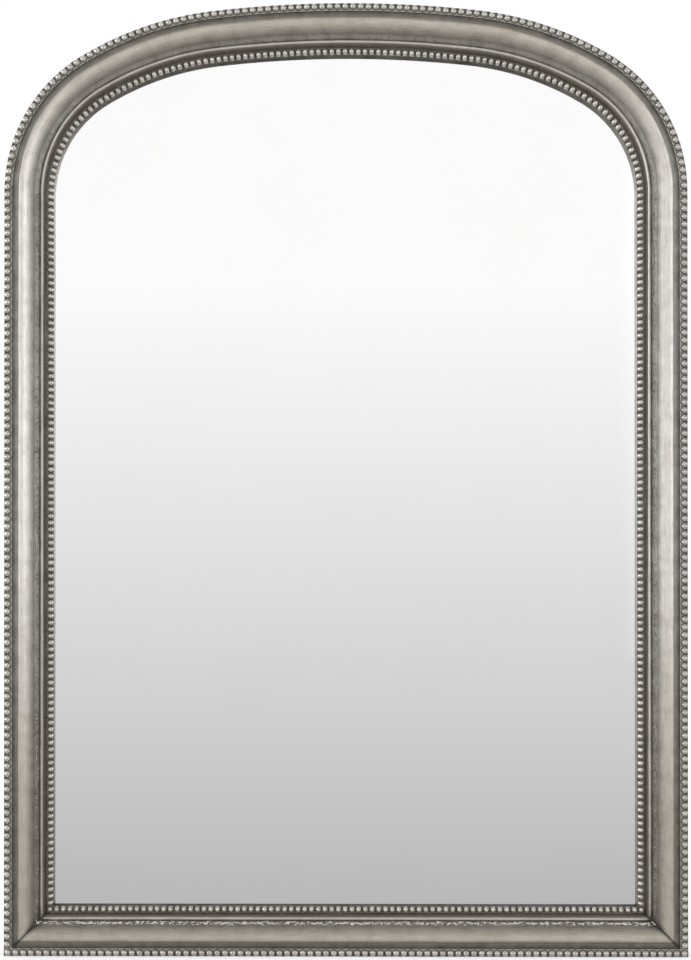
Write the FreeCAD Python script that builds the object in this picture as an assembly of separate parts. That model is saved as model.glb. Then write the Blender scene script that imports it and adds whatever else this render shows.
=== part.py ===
import FreeCAD, Part
import math
import os

from FreeCAD import Vector

# Arched overmantel mirror. The front faces -Y, the wall is at +Y, and the frame stands on z = 0.
# All sizes are in millimetres and all angles in degrees.

# Overall size of the frame
WIDTH = 860.0
HEIGHT = 1200.0

# Five-centred arch, measured on the outer edge
SHOULDER_RADIUS = 200.0
HAUNCH_RADIUS = 416.0
HAUNCH_ANGLE = 24.6
CROWN_HALF_ANGLE = 6.4

# Bead strips along the outer edge and round the sight edge
OUTER_BEAD_D = 8.8
OUTER_BEAD_GAP = 0.89
OUTER_STRIP_T = 1.6
OUTER_STRIP_MARGIN = 0.55
OUTER_STRIP_INSET = 0.3
INNER_BEAD_D = 7.6
INNER_BEAD_GAP = 0.84
INNER_STRIP_T = 3.6
INNER_STRIP_MARGIN = 0.5
LIP_REVEAL = 0.2

# Moulding section, from the outer edge to the sight edge
SIDE_DEPTH = 31.0
BAND_W = 7.3
ROLL_RADIUS = 4.3
CREST_RISE = 6.2
OGEE_W = 22.2
OGEE_RADIUS = 16.5
QUIRK_DEPTH = 0.7
FILLET_W = 3.4
FILLET_BULGE = 0.8
FILLET_RISE = 11.4
SLOPE_W = 2.0
GROOVE_W = 2.1
LIP_T = 5.7
REBATE_LAP = 9.1

# Mirror plate, its setting blocks and the backing board
GLASS_T = 4.0
GLASS_CLEARANCE = 2.0
BLOCK_LENGTH = 50.0
BLOCK_SPACING = 400.0
BOARD_T = 3.0
BOARD_CLEARANCE = 1.0
BOARD_RECESS = 0.3

# Loose tongues in the mitres and dowels in the arch joints
KEY_LENGTH = 30.0
KEY_ACROSS = 24.0
KEY_T = 4.0
DOWEL_D = 8.0
DOWEL_LENGTH = 40.0
DOWEL_SPACING = 23.0
GLUE_GAP = 0.05

# Wood screws with a cross recess
SCREW_D = 3.5
SCREW_LENGTH = 16.0
SCREW_TIP = 4.0
SCREW_TIP_D = 0.6
SCREW_HEAD_D = 7.0
SCREW_HEAD_TOP_D = 5.2
SCREW_HEAD_H = 2.2
RECESS_SPAN = 3.8
RECESS_W = 0.9
RECESS_DEPTH = 1.3
PILOT_GAP = 0.05

# Turn buttons on the back of the frame
BUTTON_T = 1.2
BUTTON_W = 11.0
BUTTON_REACH = 17.0
BUTTON_SETBACK = 7.0
BUTTON_PLAY = 0.1
PIVOT_CLEARANCE = 0.1
STILE_BUTTONS = 3
STILE_BUTTON_END = 170.0
RAIL_BUTTON_SPACING = 400.0

# Strap hangers and their D-rings
HANGER_DROP = 100.0
STRAP_T = 1.2
STRAP_W = 18.0
STRAP_SCREW_EDGE = 5.0
STRAP_SCREW_SPACING = 16.0
STRAP_HOLE_CLEARANCE = 0.1
RING_WIRE_D = 3.0
RING_PLAY = 0.3
RING_SIDE_PLAY = 1.0
RING_CORNER_R = 4.0
RING_LEG = 3.0

# Wall bumpers
BUMPER_D = 16.0
BUMPER_TOP_D = 14.0
BUMPER_MARGIN = 1.0
BUMPER_CORNER = 60.0
BUMPER_RING_GAP = 30.0

# Arch: angles, centres and the springing height that follow from the sizes above
HALF = WIDTH / 2
SHOULDER_ANGLE = 90.0 - HAUNCH_ANGLE - CROWN_HALF_ANGLE
JOINT_ANGLE = math.radians(SHOULDER_ANGLE)
CROWN_START = math.radians(90.0 - CROWN_HALF_ANGLE)
SHOULDER_END_X = HALF - SHOULDER_RADIUS * (1 - math.cos(JOINT_ANGLE))
HAUNCH_END_X = SHOULDER_END_X - HAUNCH_RADIUS * (math.cos(JOINT_ANGLE) - math.cos(CROWN_START))
CROWN_RADIUS = HAUNCH_END_X / math.cos(CROWN_START)
SHOULDER_RISE = SHOULDER_RADIUS * math.sin(JOINT_ANGLE)
HAUNCH_RISE = HAUNCH_RADIUS * (math.sin(CROWN_START) - math.sin(JOINT_ANGLE))
CROWN_RISE = CROWN_RADIUS * (1 - math.sin(CROWN_START))
SPRING_Z = HEIGHT - SHOULDER_RISE - HAUNCH_RISE - CROWN_RISE
SHOULDER_CENTRE = Vector(HALF - SHOULDER_RADIUS, 0, SPRING_Z)
HAUNCH_OFFSET = HAUNCH_RADIUS - SHOULDER_RADIUS
HAUNCH_STEP = Vector(math.cos(JOINT_ANGLE), 0, math.sin(JOINT_ANGLE)) * HAUNCH_OFFSET
HAUNCH_CENTRE = SHOULDER_CENTRE - HAUNCH_STEP
CROWN_CENTRE = Vector(0, 0, HEIGHT - CROWN_RADIUS)

# Section: distances u inward from the outer edge and h forward from the back
OUTER_STRIP_W = OUTER_BEAD_D + 2 * OUTER_STRIP_MARGIN
INNER_STRIP_W = INNER_BEAD_D + 2 * INNER_STRIP_MARGIN
BAND_END = OUTER_STRIP_INSET + OUTER_STRIP_W + BAND_W
CREST_U = BAND_END + ROLL_RADIUS
OGEE_END = CREST_U + OGEE_W
FILLET_END = OGEE_END + FILLET_W
SLOPE_END = FILLET_END + SLOPE_W
INNER_STRIP_START = SLOPE_END + GROOVE_W
FACE_WIDTH = INNER_STRIP_START + INNER_STRIP_W + LIP_REVEAL
REBATE_WALL = FACE_WIDTH - REBATE_LAP
REBATE_DEPTH = GLASS_T + BOARD_T + BOARD_RECESS
INNER_LEDGE_H = REBATE_DEPTH + LIP_T
FILLET_H = INNER_LEDGE_H + FILLET_RISE
OGEE_FOOT_H = FILLET_H - QUIRK_DEPTH
CREST_H = SIDE_DEPTH + CREST_RISE
OGEE_ANGLE = 2 * math.atan2(CREST_H - OGEE_FOOT_H, OGEE_W)
COVE_RADIUS = OGEE_W / math.sin(OGEE_ANGLE) - OGEE_RADIUS

# Planes and lines that the back hardware shares
BACK_Y = SIDE_DEPTH / 2
STILE_MIDDLE = REBATE_WALL / 2
BUTTON_U = REBATE_WALL - BUTTON_SETBACK
ROLL_BORE_R = RING_WIRE_D / 2 + RING_PLAY
ROLL_R = ROLL_BORE_R + STRAP_T
RING_HALF = STRAP_W / 2 + RING_SIDE_PLAY + RING_CORNER_R
RING_DROP = RING_CORNER_R + RING_LEG + RING_HALF
RING_REACH = RING_DROP + RING_WIRE_D / 2
FIRST_STRAP_SCREW = RING_REACH + STRAP_SCREW_EDGE
STRAP_LENGTH = FIRST_STRAP_SCREW + STRAP_SCREW_SPACING
HANG_Z = SPRING_Z - HANGER_DROP
BUMPER_H = 2 * ROLL_R + BUMPER_MARGIN

FORWARD = Vector(0, -1, 0)
REARWARD = Vector(0, 1, 0)
RIGHTWARD = Vector(1, 0, 0)
UPWARD = Vector(0, 0, 1)
ORIGIN = Vector(0, 0, 0)


def depth_y(h):
    """Y of a point that lies h forward of the frame's back."""
    return BACK_Y - h


def polar(centre, radius, angle, y=0.0):
    """Point at an angle in radians from +X towards +Z round a centre."""
    return Vector(centre.x + radius * math.cos(angle), y, centre.z + radius * math.sin(angle))


def mirrored(shape):
    """Copy of a shape on the other side of the centre plane."""
    return shape.mirror(ORIGIN, RIGHTWARD)


def bulged(start, end, bulge):
    """Three section points of an arc that stands off its chord by the bulge."""
    du = end[0] - start[0]
    dh = end[1] - start[1]
    length = math.hypot(du, dh)
    middle = ((start[0] + end[0]) / 2 - dh / length * bulge, (start[1] + end[1]) / 2 + du / length * bulge)
    return [start, middle, end]


def rolled(level, radius, start, end):
    """Three section points of an arc that is level at a point, between two slopes in radians."""
    u, h = level
    slopes = (start, (start + end) / 2, end)
    return [(u + radius * math.sin(slope), h - radius * (1 - math.cos(slope))) for slope in slopes]


def section_face(place):
    """Face of the moulding section, where place turns inward and forward distances into a point."""
    runs = [
        [(0, 0), (0, SIDE_DEPTH)],
        [(0, SIDE_DEPTH), (BAND_END, SIDE_DEPTH)],
        [(BAND_END, SIDE_DEPTH), (BAND_END, CREST_H - ROLL_RADIUS)],
        rolled((CREST_U, CREST_H), ROLL_RADIUS, -math.pi / 2, 0.0),
        rolled((CREST_U, CREST_H), OGEE_RADIUS, 0.0, OGEE_ANGLE),
        rolled((OGEE_END, OGEE_FOOT_H), -COVE_RADIUS, OGEE_ANGLE, 0.0),
        [(OGEE_END, OGEE_FOOT_H), (OGEE_END, FILLET_H)],
        bulged((OGEE_END, FILLET_H), (FILLET_END, FILLET_H), FILLET_BULGE),
        [(FILLET_END, FILLET_H), (SLOPE_END, INNER_LEDGE_H)],
        [(SLOPE_END, INNER_LEDGE_H), (FACE_WIDTH, INNER_LEDGE_H)],
        [(FACE_WIDTH, INNER_LEDGE_H), (FACE_WIDTH, REBATE_DEPTH)],
        [(FACE_WIDTH, REBATE_DEPTH), (REBATE_WALL, REBATE_DEPTH)],
        [(REBATE_WALL, REBATE_DEPTH), (REBATE_WALL, 0)],
        [(REBATE_WALL, 0), (0, 0)],
    ]
    edges = []
    for run in runs:
        points = [place(u, h) for u, h in run]
        curve = Part.Arc(*points) if len(points) == 3 else Part.LineSegment(*points)
        edges.append(curve.toShape())
    return Part.Face(Part.Wire(edges))


def springing_section():
    """Moulding section of the right side, on the springing plane."""
    return section_face(lambda u, h: Vector(HALF - u, depth_y(h), SPRING_Z))


def turned(shape, centre, angle):
    """Copy of a shape turned about an axis through a centre, from +X towards +Z."""
    copy = shape.copy()
    copy.rotate(centre, FORWARD, angle)
    return copy


def prism(corners):
    """Prism through the whole depth of the frame over corners given as x and z."""
    points = [Vector(x, -WIDTH, z) for x, z in corners]
    return Part.Face(Part.makePolygon(points + points[:1])).extrude(REARWARD * 2 * WIDTH)


def right_stile_blank():
    """Right stile with its foot cut to the mitre."""
    bar = springing_section().extrude(UPWARD * -SPRING_Z)
    inner = HALF - FACE_WIDTH
    return bar.common(prism([(HALF, 0), (HALF, SPRING_Z), (inner, SPRING_Z), (inner, FACE_WIDTH)]))


def bottom_rail_blank():
    """Bottom rail with both ends cut to the mitre."""
    bar = section_face(lambda u, h: Vector(-HALF, depth_y(h), u)).extrude(RIGHTWARD * WIDTH)
    inner = HALF - FACE_WIDTH
    return bar.common(prism([(-HALF, 0), (HALF, 0), (inner, FACE_WIDTH), (-inner, FACE_WIDTH)]))


def right_shoulder_blank():
    """Right shoulder of the arch, from the springing to the crown joint."""
    return springing_section().revolve(SHOULDER_CENTRE, FORWARD, SHOULDER_ANGLE)


def crown_blank():
    """Crown of the arch with a haunch at each end."""
    at_joint = turned(springing_section(), SHOULDER_CENTRE, SHOULDER_ANGLE)
    haunch = at_joint.revolve(HAUNCH_CENTRE, FORWARD, HAUNCH_ANGLE)
    at_crown = turned(at_joint, HAUNCH_CENTRE, HAUNCH_ANGLE)
    middle = at_crown.revolve(CROWN_CENTRE, FORWARD, 2 * CROWN_HALF_ANGLE)
    return haunch.fuse([middle, mirrored(haunch)]).removeSplitter()


def arch_edges(u, tail, y):
    """Edges at an inward offset, from the right foot over the arch to the left foot."""
    spans = [
        (SHOULDER_CENTRE, SHOULDER_RADIUS - u, 0.0, JOINT_ANGLE),
        (HAUNCH_CENTRE, HAUNCH_RADIUS - u, JOINT_ANGLE, CROWN_START),
    ]
    foot = Vector(HALF - u, y, SPRING_Z - tail)
    right = [Part.LineSegment(foot, Vector(HALF - u, y, SPRING_Z)).toShape()]
    for centre, radius, start, end in spans:
        points = [polar(centre, radius, angle, y) for angle in (start, (start + end) / 2, end)]
        right.append(Part.Arc(*points).toShape())
    crown_angles = (CROWN_START, math.pi / 2, math.pi - CROWN_START)
    crown = Part.Arc(*[polar(CROWN_CENTRE, CROWN_RADIUS - u, angle, y) for angle in crown_angles])
    left = [mirrored(edge) for edge in reversed(right)]
    return right + [crown.toShape()] + left


def arch_band(u_start, u_end, tail, h, thickness):
    """Flat band between two inward offsets over the arch, rising forward from h."""
    y = depth_y(h)
    outer = arch_edges(u_start, tail, y)
    inner = arch_edges(u_end, tail, y)
    ends = []
    for side in (1, -1):
        start = Vector(side * (HALF - u_start), y, SPRING_Z - tail)
        end = Vector(side * (HALF - u_end), y, SPRING_Z - tail)
        ends.append(Part.LineSegment(start, end).toShape())
    wire = Part.Wire(Part.sortEdges(outer + inner + ends)[0])
    return Part.Face(wire).extrude(FORWARD * thickness)


def pane(u, h, thickness):
    """Flat sheet that fills the frame inside an inward offset, rising forward from h."""
    y = depth_y(h)
    foot = Part.LineSegment(Vector(HALF - u, y, u), Vector(u - HALF, y, u)).toShape()
    wire = Part.Wire(Part.sortEdges(arch_edges(u, SPRING_Z - u, y) + [foot])[0])
    return Part.Face(wire).extrude(FORWARD * thickness)


def half_path_lengths(u):
    """Lengths of the right half of the line at an inward offset: stile, shoulder, haunch and crown."""
    return [
        SPRING_Z - u,
        (SHOULDER_RADIUS - u) * JOINT_ANGLE,
        (HAUNCH_RADIUS - u) * (CROWN_START - JOINT_ANGLE),
        (CROWN_RADIUS - u) * (math.pi / 2 - CROWN_START),
    ]


def half_path_point(u, distance, y):
    """Point at a distance along the right half of the line, from the corner up to the crown."""
    stile, shoulder, haunch, _ = half_path_lengths(u)
    if distance <= stile:
        return Vector(HALF - u, y, u + distance)
    distance -= stile
    if distance <= shoulder:
        return polar(SHOULDER_CENTRE, SHOULDER_RADIUS - u, distance / (SHOULDER_RADIUS - u), y)
    distance -= shoulder
    if distance <= haunch:
        return polar(HAUNCH_CENTRE, HAUNCH_RADIUS - u, JOINT_ANGLE + distance / (HAUNCH_RADIUS - u), y)
    distance -= haunch
    return polar(CROWN_CENTRE, CROWN_RADIUS - u, CROWN_START + distance / (CROWN_RADIUS - u), y)


def beaded(strip, centres, bead_d):
    """Strip with a half-round bead standing on its front at each centre."""
    beads = [Part.makeSphere(bead_d / 2, centre, FORWARD, 0, 90, 360) for centre in centres]
    return strip.fuse(beads)


def bead_strips(u_start, strip_w, bead_d, bead_gap, h, thickness):
    """Right, bottom and arch strips of one row of beads, which share the two corner beads' places."""
    u_end = u_start + strip_w
    u = u_start + strip_w / 2
    y = depth_y(h + thickness)
    nominal = bead_d + bead_gap
    half_length = sum(half_path_lengths(u))
    count = int(half_length / nominal)
    pitch = half_length / count
    stile_count = int(half_path_lengths(u)[0] / pitch - 0.5)
    right_end = u + (stile_count + 0.5) * pitch

    size = Vector(strip_w, thickness, right_end - u_end)
    base = Vector(HALF - u_end, y, u_end)
    right = Part.makeBox(size.x, size.y, size.z, base)
    right_points = [half_path_point(u, i * pitch, y) for i in range(1, stile_count + 1)]

    arch = arch_band(u_start, u_end, SPRING_Z - right_end, h, thickness)
    arch_right = [half_path_point(u, i * pitch, y) for i in range(stile_count + 1, count)]
    arch_left = [Vector(-point.x, point.y, point.z) for point in arch_right]
    apex = half_path_point(u, half_length, y)

    bottom = Part.makeBox(WIDTH - 2 * u_start, thickness, strip_w, Vector(u_start - HALF, y, u_start))
    span = WIDTH - 2 * u
    bottom_count = int(span / nominal)
    bottom_pitch = span / bottom_count
    bottom_points = [Vector(u - HALF + i * bottom_pitch, y, u) for i in range(bottom_count + 1)]

    return {
        "right": beaded(right, right_points, bead_d),
        "arch": beaded(arch, arch_right + [apex] + arch_left, bead_d),
        "bottom": beaded(bottom, bottom_points, bead_d),
    }


def mitre_key(allowance):
    """Right loose tongue, square across the mitre, grown by an allowance on each face."""
    along = KEY_LENGTH + 2 * allowance
    across = KEY_ACROSS + 2 * allowance
    thick = KEY_T + 2 * allowance
    key = Part.makeBox(across, thick, along, Vector(-across / 2, -thick / 2, -along / 2))
    key.rotate(ORIGIN, REARWARD, -45)
    key.translate(Vector(HALF - STILE_MIDDLE, 0, STILE_MIDDLE))
    return key


def right_dowels(allowance):
    """Dowels of the two right arch joints, grown by an allowance all over."""
    length = DOWEL_LENGTH + 2 * allowance
    dowels = []
    for side in (-1, 1):
        u = STILE_MIDDLE + side * DOWEL_SPACING / 2
        base = Vector(HALF - u, 0, SPRING_Z - length / 2)
        at_springing = Part.makeCylinder(DOWEL_D / 2 + allowance, length, base, UPWARD)
        dowels.append(at_springing)
        dowels.append(turned(at_springing, SHOULDER_CENTRE, SHOULDER_ANGLE))
    return dowels


def screw(seat):
    """Wood screw whose head sits on a point of a face that looks rearward."""
    shank = Part.makeCylinder(SCREW_D / 2, SCREW_LENGTH - SCREW_TIP, seat, FORWARD)
    tip_base = seat + FORWARD * (SCREW_LENGTH - SCREW_TIP)
    tip = Part.makeCone(SCREW_D / 2, SCREW_TIP_D / 2, SCREW_TIP, tip_base, FORWARD)
    head = Part.makeCone(SCREW_HEAD_D / 2, SCREW_HEAD_TOP_D / 2, SCREW_HEAD_H, seat, REARWARD)
    floor = seat + REARWARD * (SCREW_HEAD_H - RECESS_DEPTH)
    slots = []
    for x_size, z_size in ((RECESS_SPAN, RECESS_W), (RECESS_W, RECESS_SPAN)):
        corner = floor - Vector(x_size / 2, 0, z_size / 2)
        slots.append(Part.makeBox(x_size, RECESS_DEPTH, z_size, corner))
    return shank.fuse([tip, head]).cut(slots)


def pilot(seat):
    """Hole that a screw seated at a point leaves in the wood."""
    return Part.makeCylinder(SCREW_D / 2 + PILOT_GAP, SCREW_LENGTH + PILOT_GAP, seat, FORWARD)


def button_places():
    """Pivot of each turn button on the back plane, with the angle of its pointer from +X towards +Z."""
    top = HANG_Z - STRAP_LENGTH - STRAP_W / 2 - BUTTON_REACH - BUTTON_W
    step = (top - STILE_BUTTON_END) / (STILE_BUTTONS - 1)
    places = []
    for side, pointer in ((-1, 0.0), (1, 180.0)):
        for i in range(STILE_BUTTONS):
            places.append((Vector(side * (HALF - BUTTON_U), BACK_Y, STILE_BUTTON_END + i * step), pointer))
    for side in (-1, 1):
        places.append((Vector(side * RAIL_BUTTON_SPACING / 2, BACK_Y, BUTTON_U), 90.0))
    angle = (JOINT_ANGLE + CROWN_START) / 2
    right = polar(HAUNCH_CENTRE, HAUNCH_RADIUS - BUTTON_U, angle, BACK_Y)
    places.append((Vector(-right.x, right.y, right.z), -math.degrees(angle)))
    places.append((right, 180.0 + math.degrees(angle)))
    return places


def turn_button(pivot, pointer):
    """Turn button that points along an angle from its pivot."""
    base = ORIGIN + REARWARD * BUTTON_PLAY
    half_w = BUTTON_W / 2
    straight = BUTTON_REACH - half_w
    plate = Part.makeBox(straight, BUTTON_T, BUTTON_W, base - Vector(0, 0, half_w))
    ends = [Part.makeCylinder(half_w, BUTTON_T, base + RIGHTWARD * x, REARWARD) for x in (0, straight)]
    hole = Part.makeCylinder(SCREW_D / 2 + PIVOT_CLEARANCE, BUTTON_T, base, REARWARD)
    button = plate.fuse(ends).removeSplitter().cut(hole)
    button.rotate(ORIGIN, FORWARD, pointer)
    button.translate(pivot)
    return button


def hanger_strap_screw_seats():
    """Seats of the two screws of the right strap, on its rear face."""
    x = HALF - STILE_MIDDLE
    drops = (FIRST_STRAP_SCREW, STRAP_LENGTH)
    return [Vector(x, BACK_Y + STRAP_T, HANG_Z - drop) for drop in drops]


def hanger_strap():
    """Right strap, rolled at the top round the bar of its ring."""
    x = HALF - STILE_MIDDLE - STRAP_W / 2
    plate = Part.makeBox(STRAP_W, STRAP_T, STRAP_LENGTH, Vector(x, BACK_Y, HANG_Z - STRAP_LENGTH))
    foot_centre = Vector(HALF - STILE_MIDDLE, BACK_Y, HANG_Z - STRAP_LENGTH)
    foot = Part.makeCylinder(STRAP_W / 2, STRAP_T, foot_centre, REARWARD)
    axis_point = Vector(x, BACK_Y + ROLL_R, HANG_Z)
    roll = Part.makeCylinder(ROLL_R, STRAP_W, axis_point, RIGHTWARD)
    bore = Part.makeCylinder(ROLL_BORE_R, STRAP_W, axis_point, RIGHTWARD)
    hole_r = SCREW_D / 2 + STRAP_HOLE_CLEARANCE
    holes = []
    for seat in hanger_strap_screw_seats():
        holes.append(Part.makeCylinder(hole_r, STRAP_T, seat, FORWARD))
    return plate.fuse([foot, roll]).removeSplitter().cut([bore] + holes)


def d_ring():
    """Right D-ring, hanging from its bar against the strap."""
    bar_half = RING_HALF - RING_CORNER_R
    leg_top = -RING_CORNER_R
    leg_foot = leg_top - RING_LEG
    diagonal = RING_CORNER_R * math.sqrt(0.5)
    corner_mid = Vector(bar_half + diagonal, 0, leg_top + diagonal)
    right = [
        Part.LineSegment(ORIGIN, Vector(bar_half, 0, 0)).toShape(),
        Part.Arc(Vector(bar_half, 0, 0), corner_mid, Vector(RING_HALF, 0, leg_top)).toShape(),
        Part.LineSegment(Vector(RING_HALF, 0, leg_top), Vector(RING_HALF, 0, leg_foot)).toShape(),
    ]
    bow = Part.Arc(
        Vector(RING_HALF, 0, leg_foot),
        Vector(0, 0, leg_foot - RING_HALF),
        Vector(-RING_HALF, 0, leg_foot),
    )
    left = [mirrored(edge) for edge in reversed(right)]
    path = Part.Wire(Part.sortEdges(right + [bow.toShape()] + left)[0])
    section = Part.Wire(Part.makeCircle(RING_WIRE_D / 2, ORIGIN, RIGHTWARD))
    ring = path.makePipeShell([section], True, False)
    ring.translate(Vector(HALF - STILE_MIDDLE, BACK_Y + ROLL_R, HANG_Z))
    return ring


def wall_bumpers():
    """Bumpers on the stiles above the hangers and near the ends of the bottom rail."""
    upper_z = HANG_Z + RING_REACH + BUMPER_RING_GAP
    places = [(HALF - STILE_MIDDLE, upper_z), (HALF - BUMPER_CORNER, STILE_MIDDLE)]
    bumpers = []
    for x, z in places:
        for side in (-1, 1):
            base = Vector(side * x, BACK_Y, z)
            bumpers.append(Part.makeCone(BUMPER_D / 2, BUMPER_TOP_D / 2, BUMPER_H, base, REARWARD))
    return bumpers


def setting_blocks():
    """Blocks that carry the plate's lower edge above the rebate."""
    blocks = []
    for side in (-1, 1):
        corner = Vector(side * BLOCK_SPACING / 2 - BLOCK_LENGTH / 2, depth_y(REBATE_DEPTH), REBATE_WALL)
        blocks.append(Part.makeBox(BLOCK_LENGTH, GLASS_T, GLASS_CLEARANCE, corner))
    return blocks


def frame_nodes():
    """Wooden frame members with the cuts for their joints and screws, and what joins them."""
    places = button_places()
    head_seat = REARWARD * (BUTTON_T + 2 * BUTTON_PLAY)
    button_seats = [pivot + head_seat for pivot, _ in places]
    strap_seats = hanger_strap_screw_seats()
    strap_seats += [Vector(-seat.x, seat.y, seat.z) for seat in strap_seats]
    pilots = [pilot(seat) for seat in button_seats + strap_seats]
    key_slot = mitre_key(GLUE_GAP)
    holes = right_dowels(GLUE_GAP)
    cuts = pilots + [key_slot, mirrored(key_slot)] + holes + [mirrored(hole) for hole in holes]
    right_stile = right_stile_blank()
    right_shoulder = right_shoulder_blank()
    members = {
        "right_stile": right_stile,
        "left_stile": mirrored(right_stile),
        "bottom_rail": bottom_rail_blank(),
        "arch_right_shoulder": right_shoulder,
        "arch_left_shoulder": mirrored(right_shoulder),
        "arch_crown": crown_blank(),
    }
    nodes = {name: member.cut(cuts) for name, member in members.items()}
    dowels = right_dowels(0.0)
    nodes["right_mitre_key"] = mitre_key(0.0)
    nodes["left_mitre_key"] = mirrored(mitre_key(0.0))
    nodes["arch_dowels"] = Part.makeCompound(dowels + [mirrored(dowel) for dowel in dowels])
    nodes["turn_button_screws"] = Part.makeCompound([screw(seat) for seat in button_seats])
    nodes["hanger_screws"] = Part.makeCompound([screw(seat) for seat in strap_seats])
    for number, (pivot, pointer) in enumerate(places, start=1):
        nodes[f"turn_button_{number:02d}"] = turn_button(pivot, pointer)
    return nodes


def bead_nodes():
    """Both rows of beads, each as four strips."""
    rows = {
        "outer": bead_strips(
            OUTER_STRIP_INSET, OUTER_STRIP_W, OUTER_BEAD_D, OUTER_BEAD_GAP, SIDE_DEPTH, OUTER_STRIP_T
        ),
        "inner": bead_strips(
            INNER_STRIP_START, INNER_STRIP_W, INNER_BEAD_D, INNER_BEAD_GAP, INNER_LEDGE_H, INNER_STRIP_T
        ),
    }
    nodes = {}
    for row, strips in rows.items():
        for place, strip in strips.items():
            nodes[f"{row}_bead_{place}"] = strip
        nodes[f"{row}_bead_left"] = mirrored(strips["right"])
    return nodes


def plate_nodes():
    """Mirror plate on its setting blocks, and the board behind it."""
    return {
        "mirror_glass": pane(REBATE_WALL + GLASS_CLEARANCE, REBATE_DEPTH - GLASS_T, GLASS_T),
        "setting_blocks": Part.makeCompound(setting_blocks()),
        "backing_board": pane(REBATE_WALL + BOARD_CLEARANCE, BOARD_RECESS, BOARD_T),
    }


def hanger_nodes():
    """Hangers and bumpers on the back."""
    strap = hanger_strap()
    ring = d_ring()
    return {
        "right_hanger_strap": strap,
        "left_hanger_strap": mirrored(strap),
        "right_d_ring": ring,
        "left_d_ring": mirrored(ring),
        "wall_bumpers": Part.makeCompound(wall_bumpers()),
    }


os.makedirs("parts", exist_ok=True)
for build_nodes in (frame_nodes, bead_nodes, plate_nodes, hanger_nodes):
    for node_name, node_shape in build_nodes().items():
        node_shape.exportStep(f"parts/{node_name}.step")
        print(f"{node_name}: {len(node_shape.Solids)} solids, {node_shape.Volume / 1000:.1f} cm3, "
              f"valid {node_shape.isValid()}")
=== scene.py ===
"""Looks of an arched overmantel mirror: silver-leafed moulding, two rows of beads, plate and back."""

import logging
import math
from dataclasses import dataclass, replace
from enum import Enum
from typing import Callable, Optional, Union

import bpy
import numpy as np
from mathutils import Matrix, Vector


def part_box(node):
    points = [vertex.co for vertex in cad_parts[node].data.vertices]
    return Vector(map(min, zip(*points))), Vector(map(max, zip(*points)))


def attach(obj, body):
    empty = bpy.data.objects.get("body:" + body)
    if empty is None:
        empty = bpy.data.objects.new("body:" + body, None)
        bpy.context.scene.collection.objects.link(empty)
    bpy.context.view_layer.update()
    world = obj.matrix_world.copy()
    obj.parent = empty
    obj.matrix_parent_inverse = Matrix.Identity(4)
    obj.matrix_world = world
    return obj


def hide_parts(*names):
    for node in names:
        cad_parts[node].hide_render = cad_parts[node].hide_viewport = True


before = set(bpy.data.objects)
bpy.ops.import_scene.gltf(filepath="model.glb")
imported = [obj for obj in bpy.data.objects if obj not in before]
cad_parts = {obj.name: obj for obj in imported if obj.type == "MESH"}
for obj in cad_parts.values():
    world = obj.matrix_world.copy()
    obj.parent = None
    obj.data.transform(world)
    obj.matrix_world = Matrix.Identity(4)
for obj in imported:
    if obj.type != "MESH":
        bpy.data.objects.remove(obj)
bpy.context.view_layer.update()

LOG = logging.getLogger("overmantel_mirror")
MM = 0.001
Colour = tuple[float, float, float, float]
Pair = tuple[np.ndarray, np.ndarray]


class Coat(Enum):
    """What covers a stretch of the moulding's section."""

    LEAF = 0
    WOOD = 1


class OpenSide(Enum):
    """Side of a bead strip to which the bead niches open."""

    OUTER_EDGE = 1
    SIGHT_EDGE = -1


class Signal:
    """Output socket of a shader node; arithmetic on it adds Math nodes."""

    def __init__(self, graph: "ShaderGraph", socket: bpy.types.NodeSocket) -> None:
        """Keeps the graph that new nodes go into, and the socket."""
        self.graph = graph
        self.socket = socket

    def _math(self, operation: str, first: "Operand", second: "Operand") -> "Signal":
        """Result of a Math node with two operands."""
        return self.graph.signal("ShaderNodeMath", {"operation": operation}, {0: first, 1: second})

    def __add__(self, other: "Operand") -> "Signal":
        """Sum."""
        return self._math("ADD", self, other)

    def __radd__(self, other: "Operand") -> "Signal":
        """Sum with a number on the left."""
        return self._math("ADD", other, self)

    def __sub__(self, other: "Operand") -> "Signal":
        """Difference."""
        return self._math("SUBTRACT", self, other)

    def __rsub__(self, other: "Operand") -> "Signal":
        """Difference from a number on the left."""
        return self._math("SUBTRACT", other, self)

    def __mul__(self, other: "Operand") -> "Signal":
        """Product."""
        return self._math("MULTIPLY", self, other)

    def __rmul__(self, other: "Operand") -> "Signal":
        """Product with a number on the left."""
        return self._math("MULTIPLY", other, self)

    def __truediv__(self, other: "Operand") -> "Signal":
        """Quotient."""
        return self._math("DIVIDE", self, other)

    def __rtruediv__(self, other: "Operand") -> "Signal":
        """Quotient with a number on the left."""
        return self._math("DIVIDE", other, self)

    def smooth(self, low: float, high: float) -> "Signal":
        """Eases from 0 at the low value to 1 at the high value.

        Args:
            low: Value that gives 0.
            high: Value that gives 1; it may be the smaller of the two.

        Returns:
            The eased signal.
        """
        settings = {"interpolation_type": "SMOOTHSTEP"}
        start, end, flip = (low, high, False) if low < high else (high, low, True)
        eased = self.graph.signal(
            "ShaderNodeMapRange", settings, {"Value": self, "From Min": start, "From Max": end}
        )
        return 1 - eased if flip else eased

    def at_least(self, level: float) -> "Signal":
        """The signal where it is above a level, and the level elsewhere."""
        return self._math("MAXIMUM", self, level)

    def clamped(self) -> "Signal":
        """The signal held between 0 and 1."""
        return self.graph.signal("ShaderNodeClamp", {}, {"Value": self})


Operand = Union[Signal, float, int]


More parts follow.
